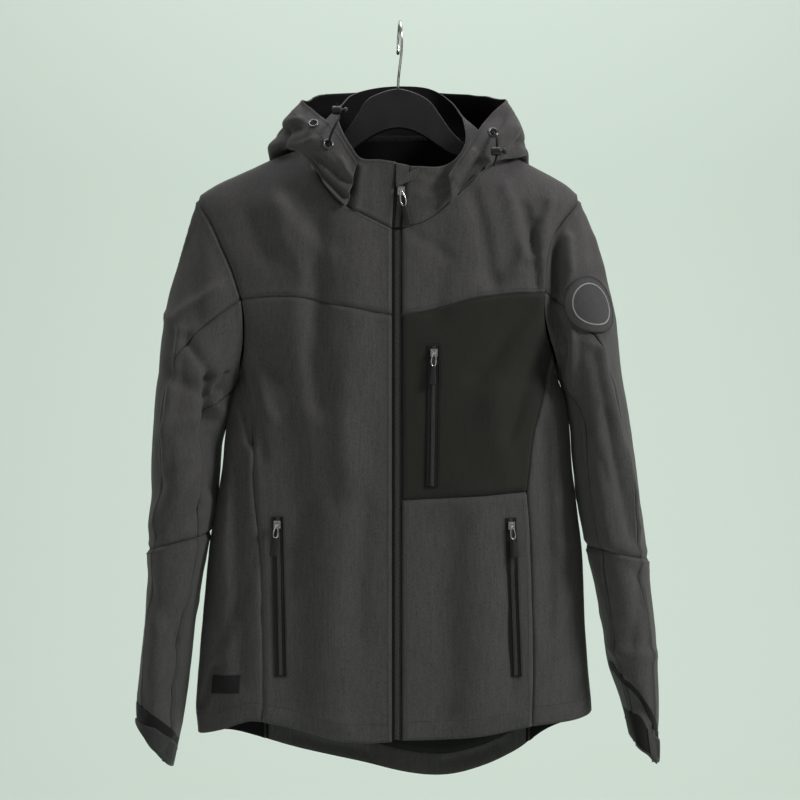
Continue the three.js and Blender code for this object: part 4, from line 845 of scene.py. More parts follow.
# %% Sleeve rings
SLEEVE = {  # outer x, outer z, inner x, inner z, half the depth
    "right": np.array([
        (-240, -190, -190.5, -402, 48), (-252, -225, -193.5, -411, 54), (-265, -270, -196.5, -421, 60),
        (-277, -316, -200, -433, 65), (-284, -362, -202, -444, 69), (-289, -410, -205, -460, 71),
        (-293.5, -462, -211, -484, 72), (-295.3, -510, -213.2, -516, 71), (-296.5, -555, -216.8, -552, 69),
        (-300, -610, -223.8, -590, 66), (-300.5, -650, -233.5, -640, 62), (-303.5, -700, -242, -690, 58),
        (-309, -752, -248, -742, 54), (-313, -792, -255, -800, 50), (-312.5, -816, -269, -870, 47),
    ], float),
    "left": np.array([
        (217, -190, 190.2, -402, 46), (231, -223, 193, -410, 53), (245, -266, 196.5, -419, 60),
        (257, -311, 200, -430, 65), (264.5, -358, 202, -444, 69), (270, -406, 205, -460, 71),
        (277, -452, 207, -482, 72), (284, -503, 209.8, -510, 71), (290, -549, 215, -552, 69),
        (300.5, -620, 224.5, -606, 66), (303, -660, 236.5, -655, 62), (308, -705, 245.5, -702, 58),
        (311, -750, 252, -748, 54), (312.5, -806, 268.5, -796, 49), (311, -867, 277, -832, 45),
    ], float),
}
AROUND, ELBOW, CUFF, SETTLE = 32, 9, 14, 6
CUFF_STITCH = 20.0
FRONT_SEAM, INNER_SEAM = (8, 4.3), (16, 11.6)
BADGE = {"x": 229.7, "z": -318.9, "radius": 35, "start": (3, 7)}
SLEEVE_FOLDS = {  # x, z, x, z, half width, rise, by side and face
    ("right", -1): [
        (-256, -350, -274, -515, 6, 5.2), (-278, -590, -284, -760, 12, 5.2),
        (-218, -448, -217, -536, 9, -16.0), (-266, -340, -284, -515, 8, -5.2),
        (-221, -408, -213, -456, 6, -13.0), (-201, -402, -211, -430, 3.5, -8.0),
        (-262, -330, -214, -300, 9, 4.4), (-280, -329, -266, -338, 7, 6.0),
        (-208, -420, -250, -360, 6, -4.4), (-212, -432, -280, -400, 9, -5.2),
        (-216, -446, -276, -470, 10, 4.0), (-250, -240, -236, -330, 14, -4.4),
        (-228, -470, -290, -540, 12, -4.8), (-270, -420, -262, -520, 14, 5.2),
        (-236, -520, -292, -580, 10, 4.0), (-230, -560, -296, -600, 9, -5.2),
        (-238, -606, -270, -700, 12, 4.4), (-296, -640, -258, -720, 9, -3.6),
        (-250, -690, -262, -800, 12, -4.0), (-284, -690, -290, -790, 12, 4.0),
        (-256, -770, -300, -800, 8, -3.2), (-262, -820, -296, -850, 8, 3.2),
    ],
    ("left", -1): [
        (183, -226, 188, -420, 12, -18.0), (203, -240, 208, -420, 5, 6.0),
        (215, -212, 224, -290, 8, 3.6), (226, -364, 242, -430, 9, 4.0), (239, -373, 287, -586, 6, 6.0),
        (230, -380, 276, -590, 8, -6.0), (262, -300, 252, -400, 9, -3.2),
        (236, -240, 252, -300, 9, 4.4), (262, -350, 270, -470, 10, -4.0),
        (206, -430, 240, -520, 9, -4.4), (228, -480, 250, -600, 9, 3.6), (243, -725, 306, -735, 8, 4.8),
        (245, -734, 307, -827, 9, -5.2), (240, -640, 262, -720, 10, 4.0),
        (290, -640, 276, -720, 9, -3.6), (262, -760, 290, -850, 8, 4.0),
        (290, -560, 296, -600, 8, -4.0), (240, -610, 292, -640, 9, -3.2),
    ],
    ("right", 1): [
        (-286, -380, -236, -460, 14, -6.0), (-292, -470, -232, -540, 12, 4.8),
        (-296, -560, -230, -600, 10, -5.6), (-298, -620, -240, -680, 11, 4.8),
        (-280, -280, -262, -400, 16, -4.8), (-300, -700, -256, -780, 12, -4.0),
    ],
    ("left", 1): [
        (262, -380, 216, -470, 14, -6.0), (280, -470, 222, -540, 12, 4.8),
        (294, -570, 232, -610, 10, -5.6), (302, -640, 246, -690, 11, 4.8),
        (256, -280, 240, -400, 16, -4.8), (306, -720, 262, -780, 12, -4.0),
    ],
}


def ring_point(side, w, s):
    """Ellipse ring: middle of the outer and inner edge, plus cosine and sine of the turn."""
    row = smooth(np.arange(CUFF + 1), SLEEVE[side], w)
    bend = 2 * np.pi * s / AROUND
    outer, inner = row[..., 0:2], row[..., 2:4]
    middle, reach = (outer + inner) / 2, (outer - inner) / 2
    flat = middle + reach * np.cos(bend)[..., None]
    return np.stack([flat[..., 0], -row[..., 4] * np.sin(bend), flat[..., 1]], -1)


armhole_gap = {}
for side in ARMHOLE:
    line = chain(*armhole_lines[side])
    front_half, back_half = (torso(line[:, 0], line[:, 1], face) for face in (-1, 1))
    loop = np.concatenate([front_half, back_half[::-1][1:]])
    turns = np.linspace(0, AROUND, len(loop))
    armhole_gap[side] = (turns, loop - ring_point(side, np.zeros_like(turns), turns))


def sleeve_form(side, w, s):
    """Smooth sleeve without creases: the ring, plus what the armhole departs from it."""
    w, s = np.broadcast_arrays(np.asarray(w, float), np.asarray(s, float))
    turns, gap = armhole_gap[side]
    departure = np.stack([np.interp(s % AROUND, turns, column) for column in gap.T], -1)
    fade = np.maximum(0, 1 - w / SETTLE) ** 2
    return ring_point(side, w, s) + departure * fade[..., None]


def sleeve_normals(side, w, s):
    """Outward normals: the cross product of two short steps on the sleeve."""
    down = sleeve_form(side, w + 0.03, s) - sleeve_form(side, np.maximum(w - 0.03, 0), s)
    turn = sleeve_form(side, w, s + 0.3) - sleeve_form(side, w, s - 0.3)
    return unit(np.cross(turn, down)) * SIGN[side]


def sleeve(side, w, s):
    """Sleeve with its creases, and its normals; a crease fades where the cloth turns away."""
    base, normals = sleeve_form(side, w, s), sleeve_normals(side, w, s)
    rise = 0
    for face in (-1, 1):
        facing = np.clip(face * normals[..., 1] * 1.6 + 0.1, 0, 1)
        rise = rise + facing * fold_rise(base[..., 0], base[..., 2], SLEEVE_FOLDS[side, face])
    fade = np.clip(np.asarray(w) / 0.2, 0, 1)
    if side == "left":  # the stiff badge keeps the cloth under it smooth
        away = np.hypot(base[..., 0] - BADGE["x"], base[..., 2] - BADGE["z"])
        calm = np.clip((away - BADGE["radius"]) / 12, 0, 1)
        fade = fade * np.where(base[..., 1] < 0, calm, 1)
    return base + normals * (rise * fade)[..., None], normals


def seam_at(line, w):
    """Ring position of a lengthwise seam, which leaves the armhole and settles to one line."""
    t = np.minimum(1, w / SETTLE)
    return line[0] + (line[1] - line[0]) * t * t * (3 - 2 * t)


# %% Sleeve pieces
def sleeve_piece(side, part, start, end, rows):
    """Front and back piece of a sleeve's upper or lower part, between its two lengthwise seams."""
    w = np.linspace(start, end, rows * DENSE + 1)[:, None]
    front, inner = seam_at(FRONT_SEAM, w), seam_at(INNER_SEAM, w)
    spans = {"front": (front, inner, 8), "back": (inner, front + AROUND, 24)}
    for name, (first, final, columns) in spans.items():
        s = first + (final - first) * np.linspace(0, 1, columns * DENSE + 1)[None]
        base, normals = sleeve(side, w + 0 * s, s)
        valleys = ("top", "first", "final") + (("bottom",) if part == "upper" else ())
        seed = SLEEVE_SEEDS[part] + SIGN[side] + len(name)
        points = sewn(base, normals, valleys, seed, dip=2.4, dip_width=2.0, rough=0.5)
        cloth_piece(f"sleeve_{part}_{name}_{side}", points, normals)


for side in ARMHOLE:
    sleeve_piece(side, "upper", 0, ELBOW, 10)
    sleeve_piece(side, "lower", ELBOW, CUFF, 6)
    for part, face in (("upper", "front"), ("upper", "back"), ("lower", "front"), ("lower", "back")):
        name = f"sleeve_{part}_{face}_{side}"
        topstitch(name, "first", TOPSTITCH)
        topstitch(name, "top", TOPSTITCH)
        if part == "lower":
            topstitch(name, "bottom", CUFF_STITCH)
print("sleeve pieces:", {k: v for k, v in cut_pieces.items() if k.startswith("sleeve")})

# %% [markdown]
# ## Cuff bands, badge and label
# These are laid on the cloth. Their points are the cloth's own points, moved out by about 1 to
# 3.5 mm, so they bend exactly as the sleeve or the front does.


# %% Things that lie on the cloth
SMALL_STEP = 0.02


def sleeve_slopes(side, w, s):
    """Sleeve point, and how it moves with each of its two positions over a small step."""
    p = sleeve_form(side, w, s)
    down = (sleeve_form(side, w + SMALL_STEP, s) - p) / SMALL_STEP
    return p, down, (sleeve_form(side, w, s + SMALL_STEP) - p) / SMALL_STEP


def find_on_sleeve(side, x, z, start, rounds=14):
    """Sleeve position that the front view shows at x and z, by Newton's steps: each step solves
    the two slopes for what is still missing in x and z."""
    w, s = (np.full(np.shape(x), value, float) for value in start)
    for _ in range(rounds):
        p, pw, ps = sleeve_slopes(side, w, s)
        det = pw[..., 0] * ps[..., 2] - ps[..., 0] * pw[..., 2]
        dx, dz = x - p[..., 0], z - p[..., 2]
        w = w + np.clip((dx * ps[..., 2] - ps[..., 0] * dz) / det, -1, 1)
        s = s + np.clip((pw[..., 0] * dz - dx * pw[..., 2]) / det, -1, 1)
    return w, s


def laid(name, inner, outer, material, nodes, flip=False, round_columns=False, body="root"):
    """Closed body between an under and an upper grid of points: both grids' faces, and a row of
    faces along each open border."""
    rows, columns = inner.shape[:2]
    top = grid_faces(rows, columns, round_columns=round_columns)
    count = rows * columns
    faces = [top, top[:, ::-1] + count]
    edge = []
    for row, turn in ((0, 1), (rows - 1, -1)):
        k = row * columns + np.arange(columns if round_columns else columns - 1)
        n = row * columns + (np.arange(len(k)) + 1) % columns
        quads = np.stack([n, k, k + count, n + count], 1)
        edge.append(quads[:, ::turn])
    if not round_columns:
        for column, turn in ((0, -1), (columns - 1, 1)):
            k = np.arange(rows - 1) * columns + column
            quads = np.stack([k + columns, k, k + count, k + columns + count], 1)
            edge.append(quads[:, ::turn])
    faces = np.concatenate(faces + edge)
    points = np.concatenate([outer.reshape(-1, 3), inner.reshape(-1, 3)])
    made = link(name, points, faces[:, ::-1] if flip else faces)
    return finish_piece(made, material, body, nodes)


UNDER = 0.2
# The gap and mouth bands are black cloth laid over the cuffs: painted shade of the openings there, with
# the black lining that shows in them.
CUFF_BANDS = {  # ring positions of both ends, rise, then turn, upper and lower edge as sleeve rows
    "right": {
        "gap": ((0.8, 15.0), 0.5, [(2, 12.95, 13.74), (8, 13.2, 13.5), (14, 13.5, 13.64)]),
        "strap": ((1.2, 14.2), 2.2, [(2, 13.72, 13.97), (8, 13.47, 13.97), (14, 13.6, 13.97)]),
    },
    "left": {
        "gap": ((1.0, 15.4), 0.5, [(2, 13.35, 13.52), (8, 12.62, 12.86), (14, 11.9, 12.14)]),
        "mouth": ((6.2, 14.6), 0.5, [(6, 13.4, 13.94), (10, 13.1, 13.93), (14, 13.0, 13.9)]),
        "strap": ((1.2, 7.2), 2.2, [(1, 13.5, 13.97), (4, 13.42, 13.97), (8, 13.3, 13.97)]),
    },
}
THUMB_RIBS = {"right": (11.0, 13.0), "left": (3.0, 4.6)}
RIB = {"height": 0.8, "each_turn": 2.5}


def cuff_band(side, part):
    """Band on the cuff between two slanted lines. From the rim its rise grows as a quarter circle
    from three tenths of its height to all of it, and a strap's grip has ribs as half sines."""
    (first, final), height, lines = CUFF_BANDS[side][part]
    turn, upper, lower = np.array(lines, float).T
    across = np.linspace(0, 1, 25)[:, None]
    along = np.linspace(0, 1, 161)[None]
    s = first + (final - first) * along + 0 * across
    top, foot = (np.interp(s, turn, line) for line in (upper, lower))
    ends = quarter(np.clip(np.minimum(along / 0.05, (1 - along) / 0.05), 0, 1))
    share = 0.5 + (across - 0.5) * (0.15 + 0.85 * ends)
    w = top + (foot - top) * share
    base, normals = sleeve(side, w, s)
    edge = np.clip(np.minimum(across, 1 - across) / 0.15, 0, 1) * ends
    low, high = THUMB_RIBS[side]
    wave = np.maximum(0, np.sin((s - low) * 2 * np.pi * RIB["each_turn"]))
    ribs = (part == "strap") * RIB["height"] * wave * ((s > low) & (s < high)) * (edge >= 1)
    rise = 0.3 + height * (0.3 + 0.7 * quarter(edge)) + ribs
    nodes = ["cuff_tab_" + side] if part == "strap" else []
    # Gap and mouth bands are black: painted shade of the cuff openings, with the black lining seen there.
    laid(f"cuff_{part}_{side}", base + normals * UNDER, base + normals * rise[..., None],
         STRAP if part == "strap" else BLACK, nodes, flip=side == "left")


for side, parts in CUFF_BANDS.items():
    for part in parts:
        cuff_band(side, part)
print("cuff bands:", {side: list(parts) for side, parts in CUFF_BANDS.items()})


# %% Badge
def from_badge_middle(radius, bend, steps=16):
    """Sleeve positions at a distance and direction from the badge's middle, walked on the cloth:
    each step goes as far across and as far up the cloth as the direction's cosine and sine say."""
    w, s = find_on_sleeve("left", BADGE["x"] + 0 * radius * bend, BADGE["z"], BADGE["start"])
    for _ in range(steps):
        _, pw, ps = sleeve_slopes("left", w, s)
        across = unit(ps)
        lean = np.sum(pw * across, -1)
        up = unit(across * lean[..., None] - pw)
        dw = radius / steps * np.sin(bend) / np.sum(pw * up, -1)
        ds = (-radius / steps * np.cos(bend) - dw * lean) / np.linalg.norm(ps, axis=-1)
        w, s = w + dw, s + ds
    return w, s


def badge_ring(name, radii, heights, material, nodes=(), rings=10, turns=128):
    """Flat ring or disc of the badge, laid on the left sleeve: its rims are quarter circles over
    0.6 mm, from four tenths of its height up."""
    (r0, r1), (low, high), rim = radii, heights, 0.6
    radius = np.linspace(r0, r1, rings)[:, None]
    bend = np.linspace(0, 2 * np.pi, turns, endpoint=False)[None]
    w, s = from_badge_middle(radius + 0 * bend, bend + 0 * radius)
    base, normals = sleeve("left", w, s)
    edge = np.clip(np.minimum((radius - r0) / rim if r0 > 1 else 1, (r1 - radius) / rim), 0, 1)
    rise = low + (high - low) * (0.4 + 0.6 * quarter(edge)) + 0 * bend
    return laid(name, base + normals * low, base + normals * rise[..., None], material,
                nodes, round_columns=True)


badge_rim = BADGE["radius"] - 1.6, BADGE["radius"] + 0.5
badge_ring("badge", (0.2, BADGE["radius"]), (0.8, 2.9), BADGE_CLOTH, ["sleeve_badge"], rings=34)
badge_ring("badge_rim", badge_rim, (0.5, 3.5), BADGE_EDGE)
badge_ring("badge_ring", (24.6, 26.6), (2.2, 3.4), PALE_THREAD, rings=6)
print("badge radius:", BADGE["radius"], "mm")

# %% Hem label
HEM_LABEL = {"x": -204, "z": -758, "wide": 34, "tall": 21, "lean": 0.5, "slope": 2.0}


def hem_label():
    """Small woven label on the front, laid on the creased cloth, with a quarter-circle rim and a
    shallow groove just inside it."""
    across = np.linspace(-0.5, 0.5, 37)[None]
    down = np.linspace(0, 1, 25)[:, None]
    x = HEM_LABEL["x"] - HEM_LABEL["lean"] * down + HEM_LABEL["wide"] * across
    z = HEM_LABEL["z"] - HEM_LABEL["tall"] * down + HEM_LABEL["slope"] * across
    base = torso(x, z, -1)
    normals = grid_normals(base)
    normals = normals * np.sign(-normals[..., 1:2])
    edge = np.clip(np.minimum(0.5 - np.abs(across), np.minimum(down, 1 - down) * 0.62) / 0.04, 0, 1)
    rise = 0.9 + 0.8 * quarter(edge) - 0.25 * np.exp(-(((edge - 0.9) / 0.3) ** 2))
    laid("label", base + normals * 0.3, base + normals * rise[..., None], LABEL,
         ["hem_label"], flip=True)


hem_label()

# %% [markdown]
# ## Collar
# The collar is a stand collar, one strip in three pieces: it is sewn to the neck seam, stands up
# round the neck and bows outwards a little. The zip runs up its front to a folded flap, the
# garage, that keeps the slider off the chin.

# %% Collar
COLLAR_TOP = {
    "right": [(-2.2, -65.4, -152), (-20, -65, -149), (-43, -60, -147), (-56, -49, -130),
              (-66, -34, -112), (-72, -12, -92), (-69, 8, -77)],
    "back": [(-69, 8, -77), (-58, 34, -62), (-34, 52, -52), (3, 58, -48), (40, 54, -52),
             (66, 38, -70), (78, 18, -90)],
    "left": [(11.5, -65.4, -156.5), (28, -65, -157), (48, -60, -157), (62, -50, -151),
             (74, -33, -138), (81, -14, -120), (78, 18, -90)],
}
COLLAR_BOW = {"middle": 3, "reach": 60, "out": 5}
COLLAR_STITCH = {"top": 3.0, "front": 4.0}
COLLAR_FOLDS = [  # x, z, x, z, half width, rise
    (-112, -138, -60, -180, 5, -5.5), (-110, -148, -60, -191, 4, 4.0), (-102, -156, -62, -200, 3, -3.5),
    (-52, -160, -58, -204, 4, -5.0), (-43, -160, -48, -206, 5, 2.6), (-20, -160, -16, -210, 7, -1.2),
    (24, -190, 44, -196, 6, 1.6), (30, -166, 50, -170, 4, -1.6), (50, -204, 92, -172, 4, -2.0),
    (44, -192, 60, -186, 5, 1.4),
]


def collar_strip(top, base, rows):
    """Grid from the collar's top edge down to the neck seam, bowed outwards by half a sine."""
    v = np.linspace(0, 1, rows)[:, None, None]
    q = top[None] * (1 - v) + base[None] * v
    away = q * (1, 1, 0) - (COLLAR_BOW["middle"], 0, 0)
    side = np.minimum(1, (away[..., 0:1] / COLLAR_BOW["reach"]) ** 2)
    return q + unit(away) * COLLAR_BOW["out"] * np.sin(np.pi * v) * side


def on_body(points, steps, face):
    """A seam line lifted to the body's surface."""
    line = seam(points, steps)
    return torso(line[:, 0], line[:, 1], face)


collar_grids = {
    "collar_front_right": (drawn(COLLAR_TOP["right"], 5 * DENSE), on_body(NECK_RIGHT, 5, -1)),
    "collar_back": (drawn(COLLAR_TOP["back"], 6 * DENSE), on_body(NECK_BACK, 6, 1)),
    "collar_front_left": (drawn(COLLAR_TOP["left"], 5 * DENSE)[::-1],
                          on_body(NECK_LEFT, 5, -1)[::-1]),
}
for order, (name, (top, base)) in enumerate(collar_grids.items()):
    strip = collar_strip(top, base, 49)
    normals = grid_normals(strip)
    facing = np.clip(-normals[..., 1] * 2, 0, 1)
    rise = facing * fold_rise(strip[..., 0], strip[..., 2], COLLAR_FOLDS)
    strip = strip + normals * rise[..., None]
    cloth_piece(name, sewn(strip, normals, ("bottom",), COLLAR_SEED + order, rough=0.4), normals)
    topstitch(name, "top", COLLAR_STITCH["top"])
topstitch("collar_front_right", "first", COLLAR_STITCH["front"])
topstitch("collar_front_left", "final", COLLAR_STITCH["front"])
print("collar pieces:", {name: cut_pieces[name] for name in collar_grids})

# %% [markdown]
# ## Hood
# The hood is sewn on below the collar and lies open: its two front edges rest on the shoulders
# as wings, and its bag hangs down the back. Seen in section it leaves the neck, turns over a
# lower fold, swells and comes back to its free edge. So it is a surface through four lines that
# run round the neck: the neck itself, the fold, the belly and the edge.

# %% Hood
HOOD = np.array([  # neck, fold, belly and edge of each station, round from the right front
    [(-60, -69, -204), (-58, -72, -194), (-53, -74, -175), (-48, -73, -153)],
    [(-87, -68, -176), (-97, -68, -150), (-90, -71, -131), (-73, -62, -116)],
    [(-104, -58, -146), (-118, -50, -131), (-112, -56, -111), (-94, -47, -95)],
    [(-116, -36, -134), (-133, -28, -127), (-128, -34, -99), (-112, -24, -77)],
    [(-112, -2, -121), (-150, 4, -136), (-144, 6, -107), (-108, 18, -71)],
    [(-97, 34, -121), (-140, 64, -196), (-138, 90, -128), (-93, 62, -59)],
    [(-52, 54, -121), (-84, 84, -288), (-86, 118, -190), (-54, 98, -51)],
    [(2, 58.5, -121), (4, 90, -322), (4, 133, -205), (4, 110, -47)],
    [(56, 54, -121), (90, 84, -288), (93, 118, -190), (62, 98, -52)],
    [(100, 34, -122), (147, 64, -198), (145, 90, -130), (101, 62, -60)],
    [(116, -2, -121), (154, 4, -139), (149, 6, -112), (121, 18, -69)],
    [(120, -36, -140), (144, -25, -140), (141, -32, -104), (127, -22, -76)],
    [(108, -56, -152), (124, -46, -142), (119, -54, -118), (103, -47, -102)],
    [(90, -67, -168), (102, -62, -152), (97, -66, -141), (83, -62, -133)],
    [(59, -70, -203), (61, -73, -195), (61, -75, -182), (59, -73, -168)],
], float)
HOOD_FRONT_FOLDS = [
    (-137, -112, -131, -128, 5, -7.0), (-142, -104, -120, -99, 5, 3.0), (-128, -132, -98, -128, 5, 3.4),
    (-116, -142, -59, -196, 4, -6.0), (-98, -144, -56, -177, 5, -5.5), (-110, -150, -61, -203, 3, 3.0),
    (-104, -118, -90, -106, 7, 2.0), (-122, -104, -112, -84, 6, -2.6), (-66, -150, -58, -166, 4, 2.4),
    (126, -96, 116, -118, 6, -3.4), (140, -112, 124, -138, 6, 3.4), (112, -90, 128, -84, 6, 1.8),
    (146, -124, 128, -146, 4, -4.0), (70, -182, 98, -144, 3.2, -3.6), (66, -172, 88, -140, 3, 3.0),
    (80, -184, 106, -150, 3, 3.0), (92, -176, 106, -158, 3, -3.0),
]
HOOD_SIDE_FOLDS = [
    (-160, -106, -116, -108, 8, -9.0), (-160, -128, -126, -126, 7, 3.5), (160, -124, 134, -128, 6, -4.0),
]
HOOD_BACK_FOLDS = [
    (-100, -90, -60, -250, 12, -4.0), (-40, -80, -24, -290, 14, 4.0), (30, -80, 22, -290, 13, -4.4),
    (96, -90, 66, -250, 12, 4.0), (-120, -120, -84, -200, 9, 3.0), (124, -120, 88, -200, 9, -3.0),
    (-70, -230, 70, -240, 12, -3.0), (-60, -262, 60, -276, 9, 2.4),
]


def hood_form(a, t):
    """Hood point at share a round the neck and share t from the neck to the edge."""
    return spline(np.moveaxis(spline(HOOD, a), 1, 0), t)


HOOD_ROWS, HOOD_COLUMNS = 105, 281
HOOD_STITCH = (3.0, 20.0)
hood_t = np.linspace(0, 1, HOOD_ROWS)
hood_base = hood_form(np.linspace(0, 1, HOOD_COLUMNS), hood_t)
hood_normals = grid_normals(hood_base)
if hood_normals[HOOD_ROWS // 2, HOOD_COLUMNS // 2, 1] < 0:  # the bag's middle faces backwards
    hood_normals = -hood_normals
hood_rise = 0
for face, folds in ((-1, HOOD_FRONT_FOLDS), (1, HOOD_BACK_FOLDS)):
    facing = np.clip(face * hood_normals[..., 1] * 1.8, 0, 1)
    hood_rise = hood_rise + facing * fold_rise(hood_base[..., 0], hood_base[..., 2], folds)
sideways = np.clip(np.abs(hood_normals[..., 0]) * 1.6 - 0.3, 0, 1) * (hood_base[..., 1] < 40)
hood_rise = hood_rise + sideways * fold_rise(hood_base[..., 0], hood_base[..., 2], HOOD_SIDE_FOLDS)
edge_roll = np.exp(-(((1 - hood_t[:, None]) / 0.05) ** 2))
hood_points = hood_base + hood_normals * (hood_rise + WALL + 0.6 * edge_roll)[..., None]
hood_points = sewn(hood_points, hood_normals, (), HOOD_SEED, rough=0.9)
cloth_piece("hood", hood_points, hood_normals)
for distance in HOOD_STITCH:
    topstitch("hood", "bottom", distance)
print("hood:", cut_pieces["hood"])


def on_hood(x, z):
    """Hood point and normal that the front view shows at x and z: the nearest of the points that
    lie in front, in the half towards the hood's edge."""
    half = HOOD_ROWS // 2
    upper = hood_points[half:]
    behind = np.where(upper[..., 1] < 0, 0, 1e6)
    away = (upper[..., 0] - x) ** 2 + (upper[..., 2] - z) ** 2 + behind
    j, i = np.unravel_index(np.argmin(away), away.shape)
    return upper[j, i], unit(hood_normals[half:][j, i])


# %% [markdown]
# ## Eyelets and cord locks
# The eyelets are pressed metal rings. A cord lock is a small barrel with a spring button. All
# are turned shapes: a profile of radius and height, carried round an axis.

# %% Turned pieces
TURNED_SIDES = 40


def turned(name, profile, centre, axis, material, nodes):
    """Profile of (radius, height) points carried round an axis at a centre: the height goes along
    the axis, the radius goes out by the cosine and sine of the turn."""
    profile = np.asarray(profile, float)
    axis = unit(np.asarray(axis, float))
    side = unit(np.cross(axis, (0.31, 0.9, 0.2)))
    other = np.cross(axis, side)
    bend = np.linspace(0, 2 * np.pi, TURNED_SIDES, endpoint=False)
    ring = side * np.cos(bend)[:, None] + other * np.sin(bend)[:, None]
    points = np.asarray(centre) + profile[:, None, 1:] * axis + profile[:, None, :1] * ring
    closed = np.allclose(profile[0], profile[-1])
    if closed:
        points = points[:-1]
    faces = grid_faces(len(points), TURNED_SIDES, round_rows=closed, round_columns=True)
    made = link(name, points.reshape(-1, 3), faces[:, ::-1])
    return finish_piece(made, material, nodes=nodes)


def rounded(profile, rounds=2):
    """The same profile with its corners eased: each round cuts them at a fifth of their sides."""
    p = np.asarray(profile, float)
    for _ in range(rounds):
        a, b = p[:-1], p[1:]
        cut = np.stack([a * 0.8 + b * 0.2, a * 0.2 + b * 0.8], 1).reshape(-1, 2)
        p = np.concatenate([p[:1], cut[1:-1], p[-1:]])
    return p


EYELETS = {"eyelet_right_upper": (-99.8, -106.9), "eyelet_right": (-80.9, -132.7),
           "eyelet_left": (111.8, -117.3)}
round_section = np.linspace(0, 2 * np.pi, 25)
EYELET_RING = np.stack([5.1 + 1.4 * np.cos(round_section), 1.7 + 1.2 * np.sin(round_section)], 1)
# The hole of each eyelet is a black disc inside its ring: painted shade of the hole, over the black lining
# seen through it.
EYELET_HOLE_SHADE = [(0.01, 1.5), (4.2, 1.5), (4.2, 0.1), (0.01, 0.1)]
for name, (x, z) in EYELETS.items():
    spot, up = on_hood(x, z)
    turned("ring_" + name, EYELET_RING, spot, up, GUNMETAL, [name])
    turned("shaded_hole_" + name, EYELET_HOLE_SHADE, spot, up, BLACK, [])

LOCKS = {"cord_lock_right": (-71, -51.5, -89.6), "cord_lock_left": (116, -74, -140.2)}
LOCK = [(0.01, -7.2), (3.4, -7.2), (4.6, -6.4), (5.2, -5), (5.2, 3.2), (4.6, 4.6), (2.2, 5), (2, 5.4),
        (2, 7), (3.2, 7.6), (3.8, 9), (3.4, 10.8), (2, 11.9), (0.01, 12.1)]
for name, centre in LOCKS.items():
    piece_name = name.removeprefix("cord_")
    turned(piece_name, rounded(LOCK), centre, (1, 0, 0), PLASTIC, [name])
print("eyelets:", list(EYELETS), "cord locks:", list(LOCKS))

# %% [markdown]
# ## Lining and hem facing
# The tail of the back hangs lower than the front, so its inside shows: a strip of shell cloth
# along the hem and the black lining above it. Both lie just inside the back panel.


# %% Inside of the back
INSIDE = {"x": (-158, 156), "thick": 1.0, "lining_top": -420, "hem_strip": 27}


def inside_strip(name, top, bottom, rows, depth, material, slot, wave):
    """Strip inside the back between two lines of heights, a given depth from its outside."""
    x = np.linspace(*INSIDE["x"], 158)[None]
    v = np.linspace(0, 1, rows)[:, None]
    z = top(x) * (1 - v) + bottom(x) * v
    base = torso(x + 0 * v, z, 1)
    normals = grid_normals(base)
    normals = normals * np.sign(normals[..., 1:2])
    points = base - normals * (depth + wave * uneven(base, 60, LINING_SEED))[..., None]
    cloth_piece(name, points, -normals, material, slot, thick=INSIDE["thick"])


hem_line = drawn(HEM_BACK, 80)


def hem_height(x):
    """Height of the back hem."""
    return np.interp(x, hem_line[:, 0], hem_line[:, 1])


inside_strip("back_hem_facing", lambda x: hem_height(x) + INSIDE["hem_strip"],
             lambda x: hem_height(x) + 1, 15, WALL + 0.8, SHELL, "shell_cloth", 0.0)
inside_strip("back_lining", lambda x: INSIDE["lining_top"] + 0 * x,
             lambda x: hem_height(x) + INSIDE["hem_strip"] + 0.5, 60, WALL + 2.6, BLACK,
             "black_cloth", 0.8)
topstitch("back_hem_facing", "top", 3.0)
print("inside pieces:", {name: cut_pieces[name] for name in ("back_hem_facing", "back_lining")})

# %% [markdown]
# ## Zips
# A coil zip is two woven tapes with a spiral sewn to each inner edge; the two spirals mesh.
# The tape lies flat on the surface's own points. A coil turn looks like a small block that
# leans towards the middle, and turns of the two sides alternate.


# %% Zip tapes and coils
def front_line(start, end, count):
    """Points and normals of the front along a straight line seen from the front: the normal is
    the cross product of a short step across and one up."""
    share = np.linspace(0, 1, count)[:, None]
    x = start[0] + (end[0] - start[0]) * share
    z = start[1] + (end[1] - start[1]) * share
    step = 0.5
    centre = torso(x, z, -1)[:, 0]
    east = torso(x + step, z, -1)[:, 0] - torso(x - step, z, -1)[:, 0]
    north = torso(x, z + step, -1)[:, 0] - torso(x, z - step, -1)[:, 0]
    return centre, unit(np.cross(east, north))


def zip_tape(name, line, normals, width, rise, thick, nodes, welt=0.0):
    """Flat tape across a line: quarter-circle edges, and a small bell on each side as the ridge
    that makes the coil's bed, and another near the edge for a welt."""
    across = np.linspace(-0.5, 0.5, 25)
    down = unit(np.gradient(line, axis=0))
    side = unit(np.cross(normals, down))
    edge = np.clip((0.5 - np.abs(across)) / 0.05, 0, 1)
    ridge = 0.35 * np.exp(-(((np.abs(across) * width - 3.4) / 0.5) ** 2))
    height = rise + thick * (0.3 + 0.7 * quarter(edge)) + ridge
    height = height + welt * np.exp(-(((np.abs(across) - 0.47) / 0.05) ** 2))
    place = line[:, None] + side[:, None] * (across * width)[:, None]
    outer = place + normals[:, None] * height[:, None]
    inner = place + normals[:, None] * (rise - 0.2)
    return laid(name, inner, outer, BLACK, nodes)


